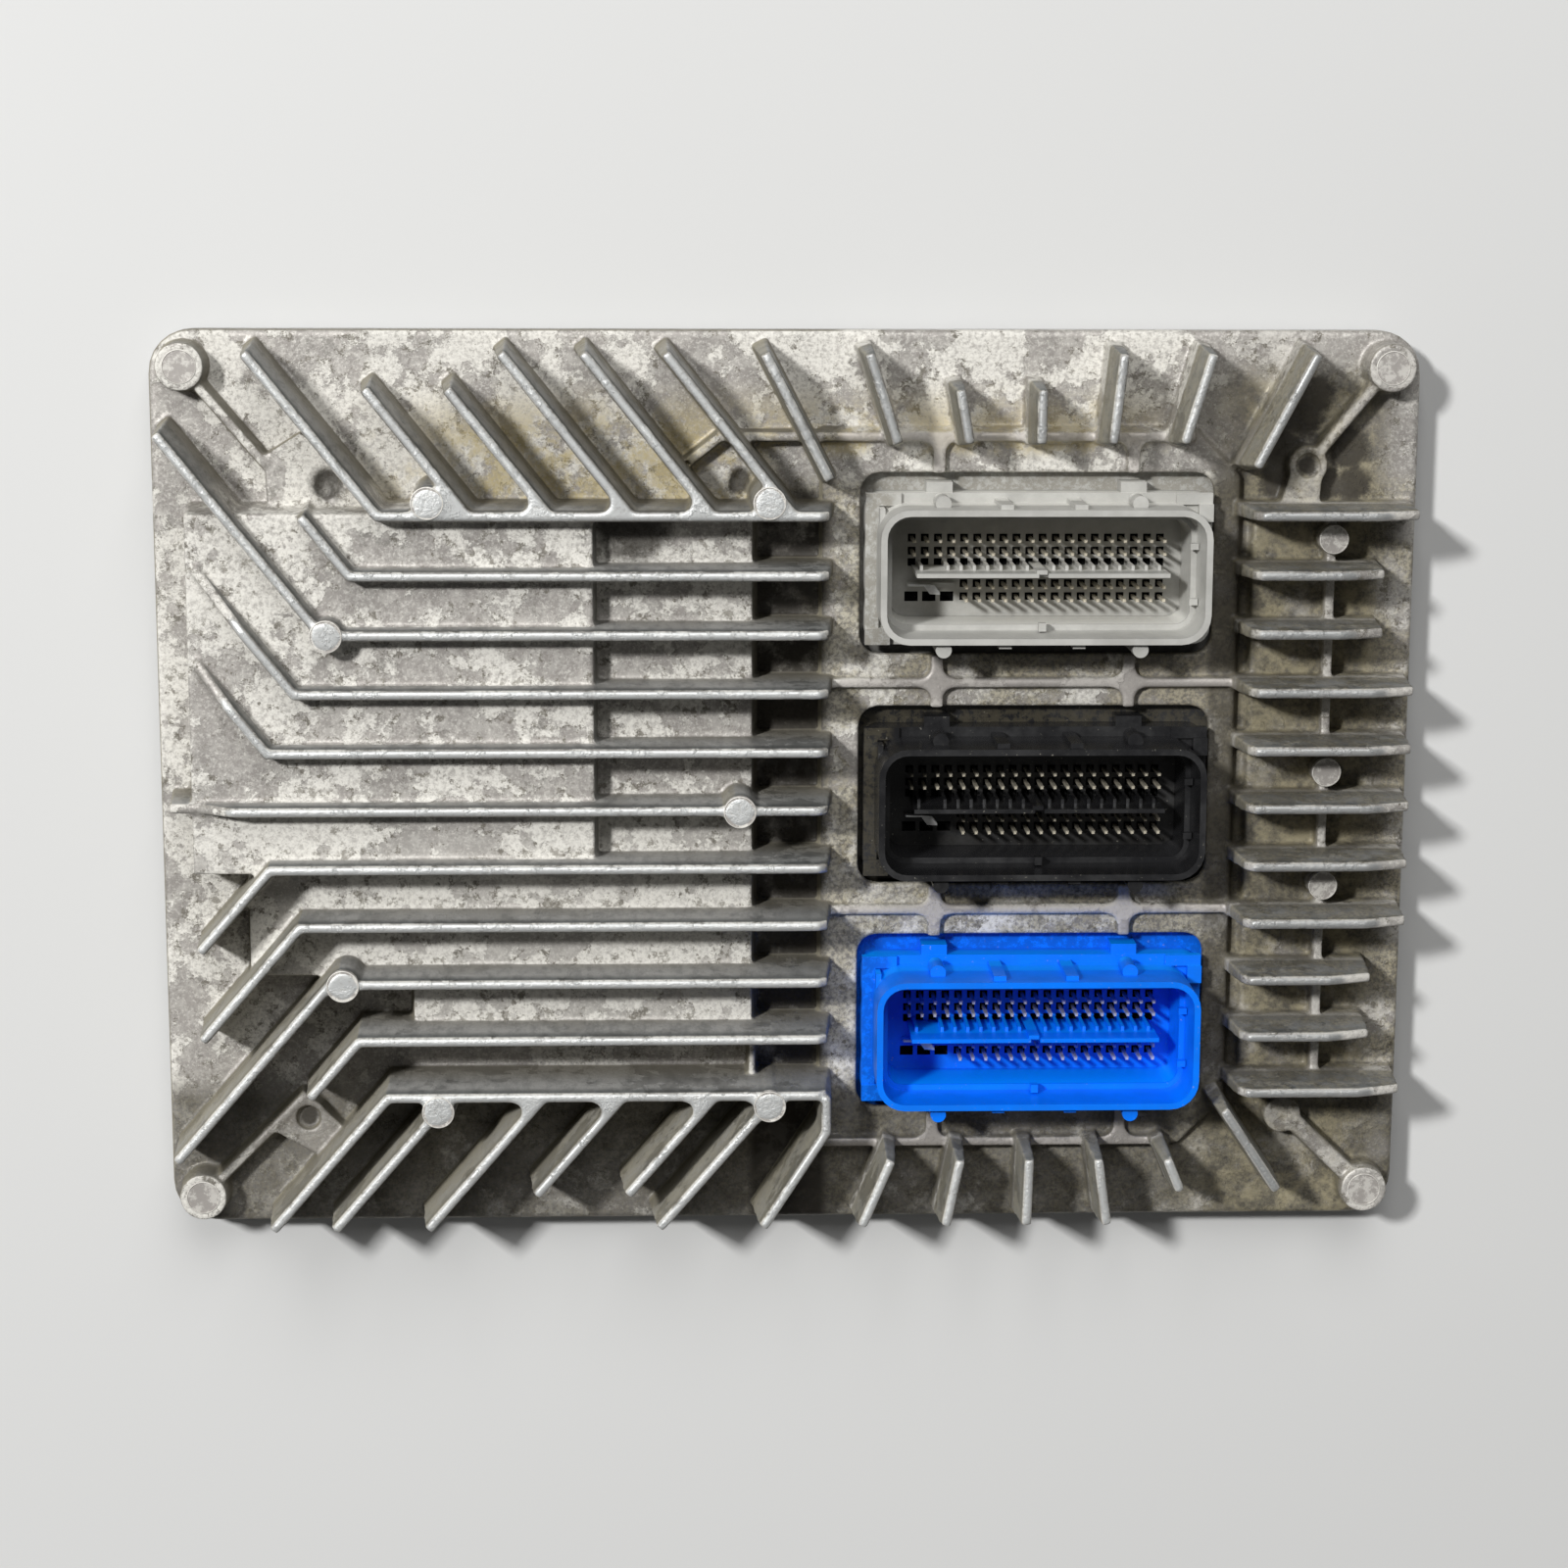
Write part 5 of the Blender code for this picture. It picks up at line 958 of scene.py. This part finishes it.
class CONTROL_UNIT_OT_stage(bpy.types.Operator):
    """Floor, lamps, surrounding light and camera"""

    bl_idname = "control_unit.stage"
    bl_label = "Stage"

    def execute(self, context):
        settings = context.scene.stage
        deselect()
        bpy.ops.mesh.primitive_plane_add(size=6.0, location=(0.0, 0.0, 0.0))
        floor = bpy.context.object
        floor.name = "floor"
        finish = Finish("pale_floor", settings.floor_colour, 0.9)
        tone = finish.noise(400 * MM, 2.0, 0.5)
        floor.data.materials.append(finish.shade(Base_Color=finish.mix(
            tone, settings.floor_colour, finish_dark(settings.floor_colour, 1.04))))
        self.lamp("key", (-1.00, 0.72, 1.65), 0.19, settings.key_power)
        self.lamp("window", (0.10, 1.45, 1.50), 1.30, settings.key_power * 0.56)
        world = bpy.data.worlds.new("studio")
        context.scene.world = world
        world.use_nodes = True
        world.node_tree.nodes["Background"].inputs["Color"].default_value = (1.0, 1.0, 1.0, 1.0)
        world.node_tree.nodes["Background"].inputs["Strength"].default_value = settings.world
        camera = bpy.data.objects.new("camera", bpy.data.cameras.new("camera"))
        context.scene.collection.objects.link(camera)
        camera.data.lens = settings.lens
        camera.data.sensor_width = 36.0
        camera.data.clip_start = 0.01
        camera.location = settings.place
        camera.rotation_euler = settings.turn
        context.scene.camera = camera
        context.scene.view_settings.view_transform = "Standard"
        return {"FINISHED"}

    def lamp(self, name, place, size, power):
        """Square area lamp that points at the unit."""
        data = bpy.data.lights.new(name, "AREA")
        data.size = size
        data.energy = power
        lamp = bpy.data.objects.new(name, data)
        bpy.context.scene.collection.objects.link(lamp)
        lamp.location = place
        lamp.rotation_euler = (-Vector(place)).to_track_quat("-Z", "Y").to_euler()


class CONTROL_UNIT_PT_panel(bpy.types.Panel):
    """Lists the pieces in the sidebar"""

    bl_label = "Control unit"
    bl_idname = "CONTROL_UNIT_PT_panel"
    bl_space_type = "VIEW_3D"
    bl_region_type = "UI"
    bl_category = "Control unit"

    def draw(self, context):
        for operator in OPERATORS:
            self.layout.operator(operator.bl_idname)
        for group in ("casting", "headers", "stage"):
            settings = getattr(context.scene, group)
            box = self.layout.box()
            for name in settings.__annotations__:
                box.prop(settings, name)


OPERATORS = (CONTROL_UNIT_OT_cover, CONTROL_UNIT_OT_headers, CONTROL_UNIT_OT_pins, CONTROL_UNIT_OT_clips,
             CONTROL_UNIT_OT_back, CONTROL_UNIT_OT_inside, CONTROL_UNIT_OT_stage)
CLASSES = (CastingSettings, HeaderSettings, StageSettings, *OPERATORS, CONTROL_UNIT_PT_panel)


def register():
    """Make the settings, operators and panel known to Blender."""
    for each in CLASSES:
        bpy.utils.register_class(each)
    bpy.types.Scene.casting = bpy.props.PointerProperty(type=CastingSettings)
    bpy.types.Scene.headers = bpy.props.PointerProperty(type=HeaderSettings)
    bpy.types.Scene.stage = bpy.props.PointerProperty(type=StageSettings)


def unregister():
    """Take them back out."""
    del bpy.types.Scene.casting, bpy.types.Scene.headers, bpy.types.Scene.stage
    for each in reversed(CLASSES):
        bpy.utils.unregister_class(each)


def main():
    """Build every piece."""
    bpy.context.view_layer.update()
    register()
    for operator in (bpy.ops.control_unit.cover, bpy.ops.control_unit.headers, bpy.ops.control_unit.pins,
                     bpy.ops.control_unit.clips, bpy.ops.control_unit.back, bpy.ops.control_unit.inside,
                     bpy.ops.control_unit.stage):
        operator()
    bpy.context.view_layer.update()


if __name__ == "__main__":
    main()
